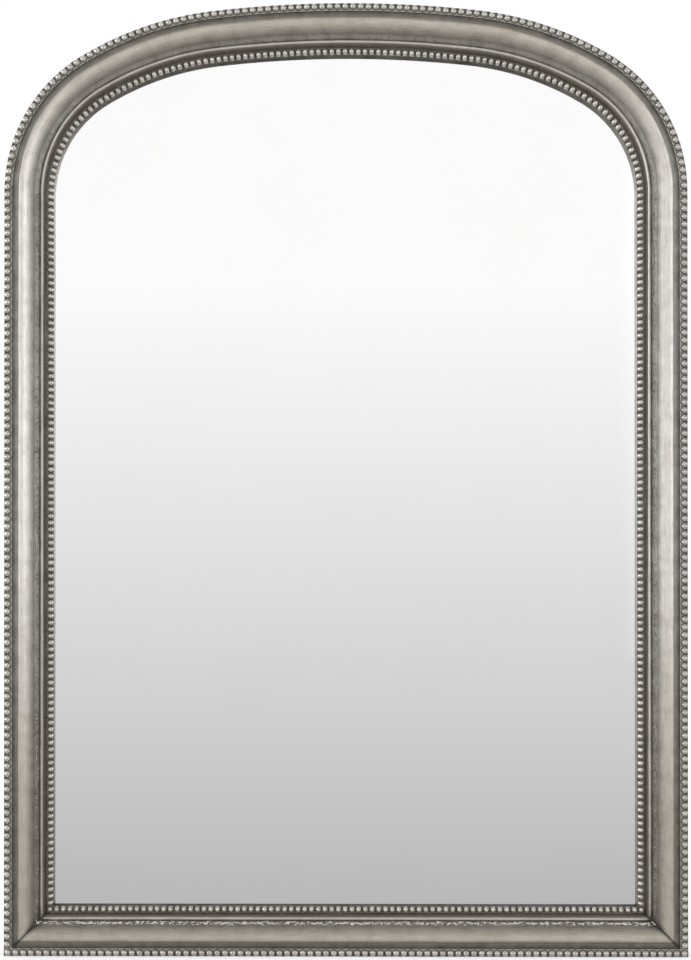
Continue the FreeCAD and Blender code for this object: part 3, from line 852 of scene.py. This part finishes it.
@dataclass
class FrameMoulding:
    """Six mouldings of the frame, each swept along its own stretch of the outer edge."""

    line: ArchLine
    section: MouldingSection
    back_y: float
    step: float = 1.6 * MM
    waviness: float = 0.10 * MM
    wave_count: int = 14
    wave_range: tuple[tuple[float, ...], ...] = ((9, 20, 0), (70, 260, math.tau))
    lumpiness: float = 0.16 * MM
    lump_count: int = 16
    lump_range: tuple[tuple[float, ...], ...] = ((380, -1600, 0), (1500, 1600, math.tau))
    nick_depth: float = 0.55 * MM
    least_nick: float = 0.35
    nick_width: float = 1.8 * MM
    nick_spacing: float = 70 * MM
    crack_width: float = 2.2 * MM
    crack_glaze: float = 0.6
    smudge_places: tuple[float, ...] = (18 * MM, 30 * MM, 44 * MM, 50 * MM)
    smudge_reaches: tuple[float, ...] = (3 * MM, 7 * MM, 15 * MM, 5 * MM)
    smudge_fade: float = 1.5
    smudge_glaze: float = 0.5
    lip_width: float = 0.55 * MM
    lip_run_shade: float = 0.5
    fillet_upright_shade: float = 0.22
    fillet_run_shade_share: float = 0.2
    foot_top: float = 500 * MM
    foot_fade: float = 330 * MM
    foot_darkening: float = 1.1
    rail_flaking: float = 1.0
    stile_flaking: float = 0.76
    shoulder_flaking: float = 0.62
    crown_flaking: float = 0.55
    seed: int = 11

    def __post_init__(self) -> None:
        """Samples the section and draws the waves and the nicks."""
        runs = self.section.runs()
        self.u, self.h = np.concatenate([run.points for run in runs]).T
        self.glaze = np.concatenate([run.spread(run.glaze) for run in runs])
        self.flake = np.concatenate([run.spread(run.flake) for run in runs])
        self.coats = np.concatenate([np.full(len(run.points), run.coat.value) for run in runs])
        edge = np.hypot(np.roll(self.u, -1) - self.u, np.roll(self.h, -1) - self.h)
        self.across = np.cumsum(edge) - edge
        tangent_u = np.roll(self.u, -1) - np.roll(self.u, 1)
        tangent_h = np.roll(self.h, -1) - np.roll(self.h, 1)
        length = np.hypot(tangent_u, tangent_h)
        self.normal_u = -tangent_h / length
        self.normal_h = tangent_u / length
        beside_quirk = (self.u > self.section.ogee_end) & (self.u < self.section.fillet_end)
        self.on_fillet = beside_quirk & (self.h >= self.section.fillet_h)
        draw = np.random.default_rng(self.seed)
        self.waves = draw.uniform(*self.wave_range, (self.wave_count, 3))
        self.lumps = draw.uniform(*self.lump_range, (self.lump_count, 3))
        whole = 2 * self.line.half_length(0.0) + 2 * self.line.half
        self.nicks = draw.uniform(0.0, whole, int(whole / self.nick_spacing))
        self.nick_sizes = draw.uniform(self.least_nick, 1.0, len(self.nicks))

    def ripple(self, along: np.ndarray, waves: np.ndarray, size: float) -> np.ndarray:
        """Sum of waves, each with its rate along the moulding, its rate across it and its phase."""
        total = sum(np.sin(along * a + self.across * b + c) for a, b, c in waves)
        return total * size / math.sqrt(len(waves))

    def relief(self, along: np.ndarray) -> np.ndarray:
        """Hand-made unevenness of the surface.

        Args:
            along: Distance along the outer edge of each station, in a column.

        Returns:
            Distance that each point moves out of the surface.
        """
        front = (self.coats == Coat.LEAF.value) & (self.h > self.section.ledge_h) & (self.u > 0)
        moved = self.ripple(along, self.waves, self.waviness) * front
        moved = moved + self.ripple(along, self.lumps, self.lumpiness) * self.flake
        gaps = (along[:, :, None] - self.nicks) / self.nick_width
        depth = np.max(np.exp(-gaps ** 2) * self.nick_sizes, axis=-1)
        return moved - depth * self.nick_depth * self.on_fillet

    def stations(self, length: float) -> np.ndarray:
        """Shares of a length in a column, about one step apart."""
        return np.linspace(0.0, 1.0, max(2, round(length / self.step)))[:, None]

    def glazed(self, away: np.ndarray, level: np.ndarray) -> np.ndarray:
        """Glaze at the points of a moulding, with the dirt beside its mitres and painted shade on lips
        and fillets.

        Args:
            away: Distance of each point from the nearest mitre.
            level: How level the moulding runs at each station, in a column.

        Returns:
            Glaze between 0 and 1.
        """
        crack = np.clip(1 - away / self.crack_width, 0.0, 1.0)
        reach = np.interp(self.u, self.smudge_places, self.smudge_reaches)
        smudge = np.clip(1 - away / reach, 0.0, 1.0) ** self.smudge_fade
        on_lip = self.u > self.section.face_width - self.lip_width
        # Painted shade: lips darker where the moulding runs level, fillets darker where it stands
        # upright.
        run_shade = self.lip_run_shade * level * on_lip + self.fillet_upright_shade * (1 - level) * self.on_fillet
        dirt = self.crack_glaze * crack + self.smudge_glaze * smudge
        return np.clip(self.glaze + dirt + run_shade, 0.0, 1.0)

    def swept(
        self,
        name: str,
        along: np.ndarray,
        flaking: float,
        spread: Callable[[np.ndarray], Pair],
        seam: Optional[Callable[[np.ndarray, np.ndarray, np.ndarray], np.ndarray]] = None,
    ) -> None:
        """Sweeps the section into one closed moulding.

        Args:
            name: Name of the node that the moulding stands for.
            along: Distance along the outer edge of each station, in a column.
            flaking: Share of the flaking that the moulding has.
            spread: Gives x and z for inward distances.
            seam: Gives the distance from the nearest mitre for inward distances, x and z.
        """
        out = self.relief(along)
        u = self.u + self.normal_u * out
        h = np.minimum(self.h + self.normal_h * out, self.section.crest_h)
        x, z = spread(u)
        away = seam(u, x, z) if seam else np.full(x.shape, np.inf)
        edge_x, edge_z = (np.gradient(edge[:, 0]) for edge in spread(np.zeros(1)))
        # Painted shade: the level value darkens the leaf of mouldings that run level, the fillets only
        # in part; the foot makes the frame darker towards the bottom.
        level = (np.abs(edge_x) / np.hypot(edge_x, edge_z))[:, None]
        foot = np.clip((self.foot_top - z) / self.foot_fade, 0.0, 1.0)
        bright = np.where(self.on_fillet, self.fillet_run_shade_share, 1.0)
        draft = Draft()
        numbers = draft.add_points(
            np.stack([x, self.back_y - h, z], axis=-1),
            along=along,
            across=self.across,
            glaze=self.glazed(away, level),
            flake=self.flake * flaking,
            tone=np.zeros(1),
            level=np.maximum(level, self.foot_darkening * foot) * bright,
        )
        draft.add_quads(numbers, self.coats)
        draft.add_faces(numbers[:1, ::-1], Coat.WOOD.value)
        draft.add_faces(numbers[-1:], Coat.WOOD.value)
        piece = draft.piece(name + "_leafed", [MOULDING_LEAF, FRAME_WOOD])
        seat(piece, "frame", "silvered_moulding", name)

    def build(self) -> None:
        """Makes the bottom rail, the stiles, the shoulders and the crown."""
        half = self.line.half
        share = self.stations(2 * half)
        self.swept(
            "bottom_rail",
            2 * self.line.half_length(0.0) + share * 2 * half,
            self.rail_flaking,
            lambda u: ((half - u) * (2 * share - 1), u + 0 * share),
            lambda u, x, z: (half - np.abs(x) - u) / math.sqrt(2),
        )
        self.side("right", 1.0)
        self.side("left", -1.0)
        self.crown()

    def side(self, side_name: str, side: float) -> None:
        """Makes one stile and the shoulder above it.

        Args:
            side_name: Left or right.
            side: 1 on the right and -1 on the left.
        """
        half, spring = self.line.half, self.line.spring
        whole = 2 * self.line.half_length(0.0)
        share = self.stations(spring)
        travel = lambda along: along if side > 0 else whole - along
        self.swept(
            f"{side_name}_stile",
            travel(share * spring),
            self.stile_flaking,
            lambda u: (side * (half - u) + 0 * share, u + (spring - u) * share),
            lambda u, x, z: (z - u) / math.sqrt(2),
        )
        centre_x, centre_z, radius, first, last = self.line.arcs()[0]
        angle = first + (last - first) * self.stations(radius * (last - first))
        self.swept(
            f"arch_{side_name}_shoulder",
            travel(spring + radius * (angle - first)),
            self.shoulder_flaking,
            lambda u: (
                side * (centre_x + (radius - u) * np.cos(angle)),
                centre_z + (radius - u) * np.sin(angle),
            ),
        )

    def crown(self) -> None:
        """Makes the crown with its two haunches."""
        (_, _, shoulder_radius, shoulder_first, shoulder_last), *upper = self.line.arcs()
        start = self.line.spring + shoulder_radius * (shoulder_last - shoulder_first)
        rows = []
        for centre_x, centre_z, radius, first, last in upper:
            angle = first + (last - first) * self.stations(radius * (last - first))[:-1]
            centre = np.broadcast_to([centre_x, centre_z, radius], (len(angle), 3))
            rows.append(np.hstack([centre, angle, start + radius * (angle - first)]))
            start += radius * (last - first)
        right = np.vstack(rows)
        apex = np.array([[0.0, upper[-1][1], upper[-1][2], math.pi / 2, start]])
        left = right[::-1] * [-1, 1, 1, -1, -1] + [0, 0, 0, math.pi, 2 * start]
        centre_x, centre_z, radius, angle, along = np.vstack([right, apex, left]).T[:, :, None]
        self.swept(
            "arch_crown",
            along,
            self.crown_flaking,
            lambda u: (
                centre_x + (radius - u) * np.cos(angle),
                centre_z + (radius - u) * np.sin(angle),
            ),
        )


@dataclass(frozen=True)
class BeadTile:
    """One bead in its niche: a runs along the strip and q away from the strip's open side."""

    pitch: float
    width: float
    radius_along: float
    radius_across: float
    bead_q: float
    bead_rise: float
    niche_gap: float
    niche_depth: float
    land_drop: float
    land_glaze: float
    edge_glaze: float
    # Painted light: the dome's glaze keeps each bead's upper flank bright, darkens the very top on the
    # outer row and darkens the foot, which is partly patina in the niche; the limb lean darkens each
    # bead on the side away from the open side.
    dome_glaze_and_shade: tuple[float, ...]
    limb_shade_lean: float
    far_wall: float = 0.22 * MM
    wall_lean: float = 0.12 * MM
    dome_angles: tuple[float, ...] = (0, 45, 62, 78, 90)
    dome_rings: int = 6
    behind: tuple[float, float] = (0.7, 0.9)
    wall_share: float = 0.8
    wall_glaze: float = 0.7
    mouth_glaze: float = 0.9
    side_points: int = 7

    def outline(self) -> tuple[np.ndarray, np.ndarray, np.ndarray]:
        """Points round the tile: right side, far side, left side and the mouth of the niche.

        Returns:
            Places along, places across, and whether each point lies in the mouth.
        """
        half_p = self.pitch / 2
        half_w = self.width / 2
        mouth = self.radius_along + self.niche_gap - 2 * self.wall_lean
        rise = np.linspace(-half_w, half_w, self.side_points)
        run = np.linspace(half_p, -half_p, self.side_points)[1:-1]
        gap = np.linspace(-mouth, mouth, self.side_points - 2)
        a = np.concatenate([np.full_like(rise, half_p), run, np.full_like(rise, -half_p), gap])
        q = np.concatenate([rise, np.full_like(run, half_w), rise[::-1], np.full_like(gap, -half_w)])
        return a, q, np.arange(len(a)) >= 3 * self.side_points - 2

    def sides(self) -> tuple[np.ndarray, np.ndarray, np.ndarray, np.ndarray]:
        """Numbers of the points on the sides of the tile's outline.

        Returns:
            Right side and far side, then left side and open side. Right and left run away from
            the open side, and the other two from left to right.
        """
        n = self.side_points
        far = np.arange(n - 1, 2 * n - 1)[::-1]
        left = np.arange(2 * n - 2, 3 * n - 2)[::-1]
        return np.arange(n), far, left, np.append(np.arange(3 * n - 3, 4 * n - 4), 0)

    def land(self, q: np.ndarray) -> np.ndarray:
        """Height of the land between the beads, which falls away behind them."""
        fall = np.clip((q - self.bead_q) / (self.width / 2 - self.bead_q), 0.0, 1.0)
        return -self.land_drop * fall ** 2

    def niche(self, margin: float) -> Pair:
        """Outline of the niche round the bead.

        Args:
            margin: Distance by which the outline is grown.

        Returns:
            Places along and across that belong to the points round the tile.
        """
        a, q, in_mouth = self.outline()
        reach_a = self.radius_along + self.niche_gap + margin
        room = self.width / 2 - self.bead_q - self.far_wall
        reach_q = min(self.radius_across + self.niche_gap, room) + margin
        turn = np.arctan2(q - self.bead_q, a)
        beside = q < self.bead_q
        niche_a = np.where(beside, np.copysign(reach_a, a), reach_a * np.cos(turn))
        niche_q = np.where(beside, q, self.bead_q + reach_q * np.sin(turn))
        return np.where(in_mouth, a, niche_a), np.where(in_mouth, q, niche_q)

    def rings(self) -> Pair:
        """Points of the tile in rings, from just below the bead's top to the tile's edge.

        Returns:
            Place along, place across, height and glaze of each ring's points, and each ring's
            share in the dome.
        """
        a, q, in_mouth = self.outline()
        turn = np.arctan2(q - self.bead_q, a)
        floor = -self.niche_depth
        tilts = np.linspace(0.0, math.pi / 2, self.dome_rings + 1)[1:]
        rows = []
        for tilt in tilts:
            # Painted highlight and shade on the dome, by tilt and by side.
            dome_glaze_and_shade = np.interp(math.degrees(tilt), self.dome_angles, self.dome_glaze_and_shade)
            rows.append([
                self.radius_along * math.sin(tilt) * np.cos(turn),
                self.bead_q + self.radius_across * math.sin(tilt) * np.sin(turn),
                np.full_like(turn, floor + self.bead_rise * math.cos(tilt)),
                dome_glaze_and_shade + self.limb_shade_lean * math.sin(tilt) * np.sin(turn),
            ])
        # Painted highlight: the rim right behind each bead takes the land's lighter glaze and shows as a
        # bright crescent; the rest keeps the edge's darker glaze.
        behind = np.interp(np.sin(turn), self.behind, (0.0, 1.0))
        rim_glaze = self.edge_glaze + (self.land_glaze - self.edge_glaze) * behind
        walls = ((-1.0, 0.0, 1.0), (0.0, self.wall_share, self.wall_glaze), (1.0, 1.0, rim_glaze))
        for lean, share, glaze in walls:
            niche_a, niche_q = self.niche(lean * self.wall_lean)
            height = floor + np.where(in_mouth, 0.0, share) * (self.land(niche_q) - floor)
            rows.append([niche_a, niche_q, height, np.where(in_mouth, 1.0, glaze)])
        height = np.where(in_mouth, floor, self.land(q))
        rows.append([a, q, height, np.where(in_mouth, self.mouth_glaze, self.edge_glaze)])
        beyond_dome = np.zeros(len(rows) - self.dome_rings)
        return np.moveaxis(np.array(rows), 1, 2), np.append(np.cos(tilts), beyond_dome)

    def faces(self) -> list[list[int]]:
        """Faces over the tile.

        Returns:
            Numbers of each face's points, counted ring by ring with the bead's top last.
        """
        rows, steps = self.rings()[0].shape[:2]
        numbers = np.arange(rows * steps).reshape(rows, steps)
        in_mouth = self.outline()[2]
        numbers[self.dome_rings:-1, in_mouth] = numbers[-1, in_mouth]
        following = np.roll(numbers, -1, axis=1)
        made = [[rows * steps, int(p), int(n)] for p, n in zip(numbers[0], following[0])]
        for inner, outer, outer_next, inner_next in zip(
            numbers[:-1].flat, numbers[1:].flat, following[1:].flat, following[:-1].flat
        ):
            corners = list(dict.fromkeys(int(c) for c in (inner, outer, outer_next, inner_next)))
            if len(corners) > 2:
                made.append(corners)
        return made


@dataclass
class BeadRow:
    """Row of beads round the frame, carved as four strips."""

    name: str
    line: ArchLine
    back_y: float
    tile: BeadTile
    strip_start: float
    ledge_h: float
    strip_t: float
    open_side: OpenSide
    seed: int
    jitter: float = 0.12 * MM
    lump_share: float = 0.3
    shrinkage: float = 0.07
    foot_tone: float = 0.5

    @property
    def inset(self) -> float:
        """Distance of the strip's middle line from the outer edge."""
        return self.strip_start + self.tile.width / 2

    def on_arch_line(self, along: np.ndarray, inward: np.ndarray) -> Pair:
        """Places of the stile and arch strips, along the line from the right corner bead."""
        x, z, inward_x, inward_z = np.moveaxis(self.line.follow(self.inset, along), -1, 0)
        return x + inward_x * inward, z + inward_z * inward

    def on_bottom(self, along: np.ndarray, inward: np.ndarray) -> Pair:
        """Places of the bottom strip, along the line from the left corner bead."""
        return along - self.line.half + self.inset, self.inset + inward

    @staticmethod
    def chained(values: np.ndarray, chain: np.ndarray) -> np.ndarray:
        """Values at one side of the tiles, tile after tile along the strip."""
        return np.append(values[:, chain[:-1]].reshape(-1), values[-1, chain[-1]])

    def strip(
        self,
        place: str,
        pitch: float,
        beads: np.ndarray,
        ends: tuple[float, float],
        lay: Callable[[np.ndarray, np.ndarray], Pair],
        draw: np.random.Generator,
    ) -> None:
        """Carves one strip.

        Args:
            place: Where the strip lies, as in its node's name.
            pitch: Distance between two beads.
            beads: Number of each bead along its line.
            ends: Where the strip starts and ends along its line.
            lay: Gives x and z for places along the line and inward of it.
            draw: Random numbers for the beads' unevenness.
        """
        tile = replace(self.tile, pitch=pitch)
        right, far, left, near = tile.sides()
        rings, dome = tile.rings()
        rim = (len(rings) - 1) * rings.shape[1]
        count = len(beads)
        top = np.array([[0.0, tile.bead_q, tile.bead_rise - tile.niche_depth, tile.dome_glaze_and_shade[0]]])
        points = np.vstack([rings.reshape(-1, 4), top])
        share = np.append(np.repeat(dome, rings.shape[1]), 1.0)
        lean = draw.uniform(-self.jitter, self.jitter, (count, 2, 1)) * share
        swell = 1 + draw.uniform(-self.shrinkage, 0.0, (count, 1)) * share
        bulges = draw.uniform(-self.lump_share, self.lump_share, (count, len(points)))
        tone = np.broadcast_to(draw.uniform(0.0, 1.0, (count, 1)), bulges.shape)
        along = beads[:, None] * pitch + points[:, 0] + lean[:, 0]
        along[0, rim + left], along[-1, rim + right] = ends
        across = points[:, 1] + lean[:, 1]
        height = points[:, 2] * swell + bulges * self.jitter * share
        glaze = np.broadcast_to(points[:, 3], along.shape)
        draft = Draft()
        ids = self.laid(draft, lay, along, across, height, glaze, tone)
        ids[1:, rim + left] = ids[:-1, rim + right]
        for face in tile.faces():
            draft.add_faces(ids[:, face])
        tops, feet = [], []
        for chain in (rim + near, rim + far):
            tops.append(self.chained(ids, chain))
            foot = self.chained(along, chain)
            full = np.ones_like(foot)
            side, base = points[chain[0], 1] * full, -self.strip_t * full
            feet.append(self.laid(draft, lay, foot, side, base, full, self.foot_tone * full))
        self.close(draft, tops, feet, ids[0, rim + left], ids[-1, rim + right])
        piece = draft.piece(f"{self.name}_bead_{place}_carved", [BEAD_LEAF], crease=50.0)
        seat(piece, "frame", "silvered_beading", f"{self.name}_bead_{place}")

    def laid(
        self,
        draft: Draft,
        lay: Callable[[np.ndarray, np.ndarray], Pair],
        along: np.ndarray,
        across: np.ndarray,
        height: np.ndarray,
        glaze: np.ndarray,
        tone: np.ndarray,
    ) -> np.ndarray:
        """Adds points of a strip.

        Args:
            draft: Draft of the strip.
            lay: Gives x and z for places along the line and inward of it.
            along: Places along the line.
            across: Places away from the open side.
            height: Heights over the strip's top.
            glaze: Glaze at the points.
            tone: Tone at the points.

        Returns:
            Numbers of the points.
        """
        x, z = lay(along, across * self.open_side.value)
        y = self.back_y - self.ledge_h - self.strip_t - height
        none = np.zeros(1)
        return draft.add_points(
            np.stack([x, y, z], axis=-1),
            along=along, across=across, glaze=glaze, flake=none, tone=tone, level=none,
        )

    @staticmethod
    def close(
        draft: Draft,
        tops: list[np.ndarray],
        feet: list[np.ndarray],
        first: np.ndarray,
        last: np.ndarray,
    ) -> None:
        """Closes a strip's sides, base and ends.

        Args:
            draft: Draft of the strip.
            tops: Upper points of the open side and of the far side, from left to right.
            feet: Lower points in the same order.
            first: Upper points of the left end, away from the open side.
            last: Upper points of the right end, away from the open side.
        """
        near_top, far_top = tops
        near_foot, far_foot = feet
        walls = ((near_top, near_foot), (far_top[::-1], far_foot[::-1]), (near_foot, far_foot))
        for edge, other in walls:
            draft.add_faces(np.stack([edge[1:], edge[:-1], other[:-1], other[1:]], axis=-1))
        draft.add_faces(np.concatenate([first, [far_foot[0], near_foot[0]]])[None])
        draft.add_faces(np.concatenate([last[::-1], [near_foot[-1], far_foot[-1]]])[None])

    def build(self) -> None:
        """Carves the right, arch, left and bottom strips."""
        draw = np.random.default_rng(self.seed)
        half_length = self.line.half_length(self.inset)
        count = int(half_length / self.tile.pitch)
        pitch = half_length / count
        stile_count = int((self.line.spring - self.inset) / pitch - 0.5)
        foot = self.tile.width / 2
        joint = (stile_count + 0.5) * pitch
        whole = 2 * half_length
        right = np.arange(1, stile_count + 1)
        arch = np.arange(stile_count + 1, 2 * count - stile_count)
        left = np.arange(2 * count - stile_count, 2 * count)
        self.strip("right", pitch, right, (foot, joint), self.on_arch_line, draw)
        self.strip("arch", pitch, arch, (joint, whole - joint), self.on_arch_line, draw)
        self.strip("left", pitch, left, (whole - joint, whole - foot), self.on_arch_line, draw)
        span = 2 * (self.line.half - self.inset)
        bottom_count = int(span / self.tile.pitch)
        bottom = np.arange(bottom_count + 1)
        self.strip("bottom", span / bottom_count, bottom, (-foot, span + foot), self.on_bottom, draw)


@dataclass
class MirrorPlate:
    """Silvered plate with softened edges."""

    line: ArchLine
    back_y: float
    inset: float = 53.2 * MM
    back_h: float = 3.35 * MM
    front_h: float = 7.3 * MM
    arris: float = 0.4 * MM
    stations: int = 520

    def build(self) -> None:
        """Makes the plate as one closed slab."""
        draft = Draft()
        rings = []
        soft = self.inset + self.arris
        for inset, h in (
            (soft, self.back_h),
            (self.inset, self.back_h + self.arris),
            (self.inset, self.front_h - self.arris),
            (soft, self.front_h),
        ):
            distance = np.linspace(0.0, 2 * self.line.half_length(inset), self.stations)
            x, z = self.line.follow(inset, distance)[:, :2].T
            y = np.full_like(x, self.back_y - h)
            rings.append(draft.add_points(np.stack([x, y, z], axis=-1)))
        draft.add_quads(np.array(rings), np.ones(self.stations, int))
        draft.add_faces(rings[0][None, ::-1], 1)
        draft.add_faces(rings[-1][None], 0)
        piece = draft.piece("mirror_plate_silvered", [SILVER, PLATE_EDGE], crease=25.0)
        seat(piece, "frame", "mirror_plate", "mirror_glass")


@dataclass
class BackFittings:
    """Board, turn buttons, hangers, screws and pads behind the frame."""

    buttons: int = 10

    def dress(self) -> None:
        """Gives every fitting its finish."""
        dress("backing_board", BOARD)
        dress("setting_blocks", BLOCK_RUBBER)
        dress("wall_bumpers", BUMPER_RUBBER)
        for node in ("left_mitre_key", "right_mitre_key", "arch_dowels"):
            dress(node, JOINERY_WOOD)
        for number in range(1, self.buttons + 1):
            dress(f"turn_button_{number:02d}", ZINC)
        for node in ("turn_button_screws", "hanger_screws"):
            dress(node, SCREW_STEEL)
        for side in ("left", "right"):
            dress(f"{side}_hanger_strap", NICKEL)
            dress(f"{side}_d_ring", NICKEL)


@dataclass(frozen=True)
class SoftBox:
    """Large soft lamp."""

    name: str
    place: tuple[float, float, float]
    target: tuple[float, float, float]
    size: tuple[float, float]
    watts: float

    def hang(self) -> None:
        """Hangs the lamp and turns it to its target."""
        lamp = bpy.data.lights.new(self.name, "AREA")
        lamp.shape = "RECTANGLE"
        lamp.size, lamp.size_y = self.size
        lamp.energy = self.watts
        hung = bpy.data.objects.new(self.name, lamp)
        hung.location = self.place
        aim = Vector(self.target) - Vector(self.place)
        hung.rotation_euler = aim.to_track_quat("-Z", "Y").to_euler()
        bpy.context.scene.collection.objects.link(hung)


@dataclass
class Studio:
    """Camera, floor, surroundings and lamps."""

    camera_place: tuple[float, float, float] = (-0.055, -2.0175, 0.459)
    camera_rise: float = math.radians(0.235)
    camera_turn: float = math.radians(0.448)
    lens: float = 59.67
    shift_right: float = 0.0586
    shift_up: float = 0.1091
    floor_half: float = 9.0
    floor_colour: Colour = (0.86, 0.86, 0.86, 1.0)
    floor_glow: float = 0.36
    far_floor: float = 0.73
    near_shade: float = 0.56
    shade_reach: float = 2.02
    ambient: float = 0.82
    brightest_side: float = 2.0
    heights: tuple[tuple[float, float], ...] = (
        (-1.0, 0.25), (-0.35, 0.32), (-0.12, 0.60), (-0.045, 0.68), (0.0, 0.73), (0.187, 0.98),
        (0.325, 0.98), (0.345, 0.52), (0.40, 0.32), (0.60, 0.18), (0.80, 0.30), (1.0, 0.80),
    )
    sides: tuple[tuple[float, float], ...] = (
        (-180, 1.60), (-140, 2.0), (-110, 2.0), (-80, 1.70), (-60, 1.30), (-42, 1.30), (-18, 1.30),
        (-11, 1.0), (12.4, 1.0), (14.6, 2.0), (40, 2.0), (54, 1.0), (80, 0.35), (110, 0.50), (180, 1.60),
    )
    lamps: tuple[SoftBox, ...] = (
        SoftBox("left_softbox", (-2.4, -0.75, 0.95), (0.0, 0.0, 0.65), (0.9, 1.8), 9.0),
        SoftBox("right_softbox", (2.3, -1.1, 0.9), (0.0, 0.0, 0.65), (0.9, 1.6), 5.0),
    )

    def aim_camera(self) -> None:
        """Sets the camera almost square in front of the mirror."""
        lens = bpy.data.cameras.new("photo_camera")
        lens.lens = self.lens
        lens.shift_x = self.shift_right
        lens.shift_y = self.shift_up
        seen = bpy.data.objects.new("photo_camera", lens)
        seen.location = self.camera_place
        seen.rotation_euler = (math.pi / 2 + self.camera_rise, 0.0, self.camera_turn)
        bpy.context.scene.collection.objects.link(seen)
        bpy.context.scene.camera = seen

    @staticmethod
    def mirrored_ray(graph: ShaderGraph) -> Signal:
        """Rays that come off metal or through glass.

        Args:
            graph: Graph that the nodes go into.

        Returns:
            1 for such rays and 0 for others.
        """
        glossy = graph.signal("ShaderNodeLightPath", {}, {}, "Is Glossy Ray")
        passed = graph.signal("ShaderNodeLightPath", {}, {}, "Is Transmission Ray")
        return (glossy + passed).clamped()

    @staticmethod
    def camera_ray(graph: ShaderGraph) -> Signal:
        """1 for rays straight from the camera."""
        return graph.signal("ShaderNodeLightPath", {}, {}, "Is Camera Ray")

    def lay_floor(self) -> None:
        """Lays the pale floor, which shows white and keeps the shadow."""
        half = self.floor_half
        corners = [(-half, -half, 0.0), (half, -half, 0.0), (half, half, 0.0), (-half, half, 0.0)]
        mesh = bpy.data.meshes.new("floor")
        mesh.from_pydata(corners, [], [(0, 1, 2, 3)])
        made = bpy.data.materials.new("pale_floor")
        made.use_nodes = True
        graph = ShaderGraph(made.node_tree)
        place = graph.place()
        reach = graph.signal("ShaderNodeSeparateXYZ", {}, {"Vector": place}, "Y") * -1
        mirrored = self.far_floor - self.near_shade / (reach.at_least(0.0) + self.shade_reach)
        pale = graph.signal("ShaderNodeBsdfDiffuse", {}, {"Color": self.floor_colour})
        glow = graph.signal("ShaderNodeEmission", {}, {"Strength": self.floor_glow})
        lit = graph.signal("ShaderNodeAddShader", {}, {0: pale, 1: glow})
        shade = graph.signal("ShaderNodeEmission", {}, {"Color": graph.vector(*[mirrored] * 3)})
        by_camera = {0: self.camera_ray(graph), 1: pale, 2: lit}
        plain = graph.signal("ShaderNodeMixShader", {}, by_camera)
        by_mirror = {0: self.mirrored_ray(graph), 1: plain, 2: shade}
        shown = graph.signal("ShaderNodeMixShader", {}, by_mirror)
        graph.node("ShaderNodeOutputMaterial", {}, {"Surface": shown})
        mesh.materials.append(made)
        floor = bpy.data.objects.new("floor", mesh)
        bpy.context.scene.collection.objects.link(floor)

    @staticmethod
    def ramp(graph: ShaderGraph, place: Signal, levels: list[tuple[float, float]]) -> Signal:
        """Brightness read from grey stops, each with its position from 0 to 1."""
        stops = [(position, (level, level, level, 1.0)) for position, level in levels]
        return graph.signal("ShaderNodeValToRGB", {"stops": stops}, {"Fac": place})

    def surround(self) -> None:
        """Makes the surroundings: white to the camera, a pale room to metal and glass."""
        world = bpy.data.worlds.new("pale_room")
        bpy.context.scene.world = world
        world.use_nodes = True
        graph = ShaderGraph(world.node_tree)
        direction = graph.signal("ShaderNodeTexCoord", {}, {}, "Generated")
        right, rear, up = (
            graph.signal("ShaderNodeSeparateXYZ", {}, {"Vector": direction}, axis) for axis in "XYZ"
        )
        around = graph.signal("ShaderNodeMath", {"operation": "ARCTAN2"}, {0: right, 1: rear * -1})
        heights = [((z + 1) / 2, level) for z, level in self.heights]
        sides = [(turn / 360 + 0.5, level / self.brightest_side) for turn, level in self.sides]
        by_height = self.ramp(graph, up * 0.5 + 0.5, heights)
        by_side = self.ramp(graph, around / math.tau + 0.5, sides)
        room = by_height * by_side * self.brightest_side
        ambient = (self.ambient, self.ambient, self.ambient, 1.0)
        lit = graph.blend(self.mirrored_ray(graph), ambient, room)
        colour = graph.blend(self.camera_ray(graph), lit, (1.0, 1.0, 1.0, 1.0))
        background = graph.signal("ShaderNodeBackground", {}, {"Color": colour})
        graph.node("ShaderNodeOutputWorld", {}, {"Surface": background})

    def build(self) -> None:
        """Sets up the whole studio."""
        self.aim_camera()
        self.lay_floor()
        self.surround()
        for lamp in self.lamps:
            lamp.hang()
        bpy.context.scene.view_settings.view_transform = "Standard"


def main() -> None:
    """Builds the mirror, dresses it and sets up the studio."""
    low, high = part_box("left_stile")
    _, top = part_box("arch_crown")
    back_y = high[1]
    line = ArchLine(half=-low[0], height=top[2])
    FrameMoulding(line, MouldingSection(), back_y).build()
    outer = BeadTile(
        pitch=9.69 * MM, width=9.9 * MM, radius_along=4.4 * MM, radius_across=4.45 * MM,
        bead_q=-0.3 * MM, bead_rise=5.5 * MM, niche_gap=0.3 * MM, niche_depth=1.2 * MM,
        land_drop=0.0, land_glaze=0.0, edge_glaze=0.6,
        dome_glaze_and_shade=(0.16, 0.08, 0.0, 0.06, 0.75), limb_shade_lean=0.0,
    )
    inner = BeadTile(
        pitch=8.44 * MM, width=8.6 * MM, radius_along=3.65 * MM, radius_across=3.9 * MM,
        bead_q=-0.3 * MM, bead_rise=6.2 * MM, niche_gap=0.4 * MM, niche_depth=1.8 * MM,
        land_drop=1.4 * MM, land_glaze=0.4, edge_glaze=0.75,
        dome_glaze_and_shade=(0.0, 0.0, 0.0, 0.12, 0.6), limb_shade_lean=0.26,
    )
    BeadRow(
        "outer", line, back_y, outer, strip_start=0.3 * MM, ledge_h=31.0 * MM, strip_t=1.6 * MM,
        open_side=OpenSide.OUTER_EDGE, seed=3,
    ).build()
    BeadRow(
        "inner", line, back_y, inner, strip_start=51.5 * MM, ledge_h=13.0 * MM, strip_t=3.6 * MM,
        open_side=OpenSide.SIGHT_EDGE, seed=4,
    ).build()
    MirrorPlate(line, back_y).build()
    BackFittings().dress()
    Studio().build()


if __name__ == "__main__":
    logging.basicConfig(level=logging.INFO, format="%(message)s")
    main()
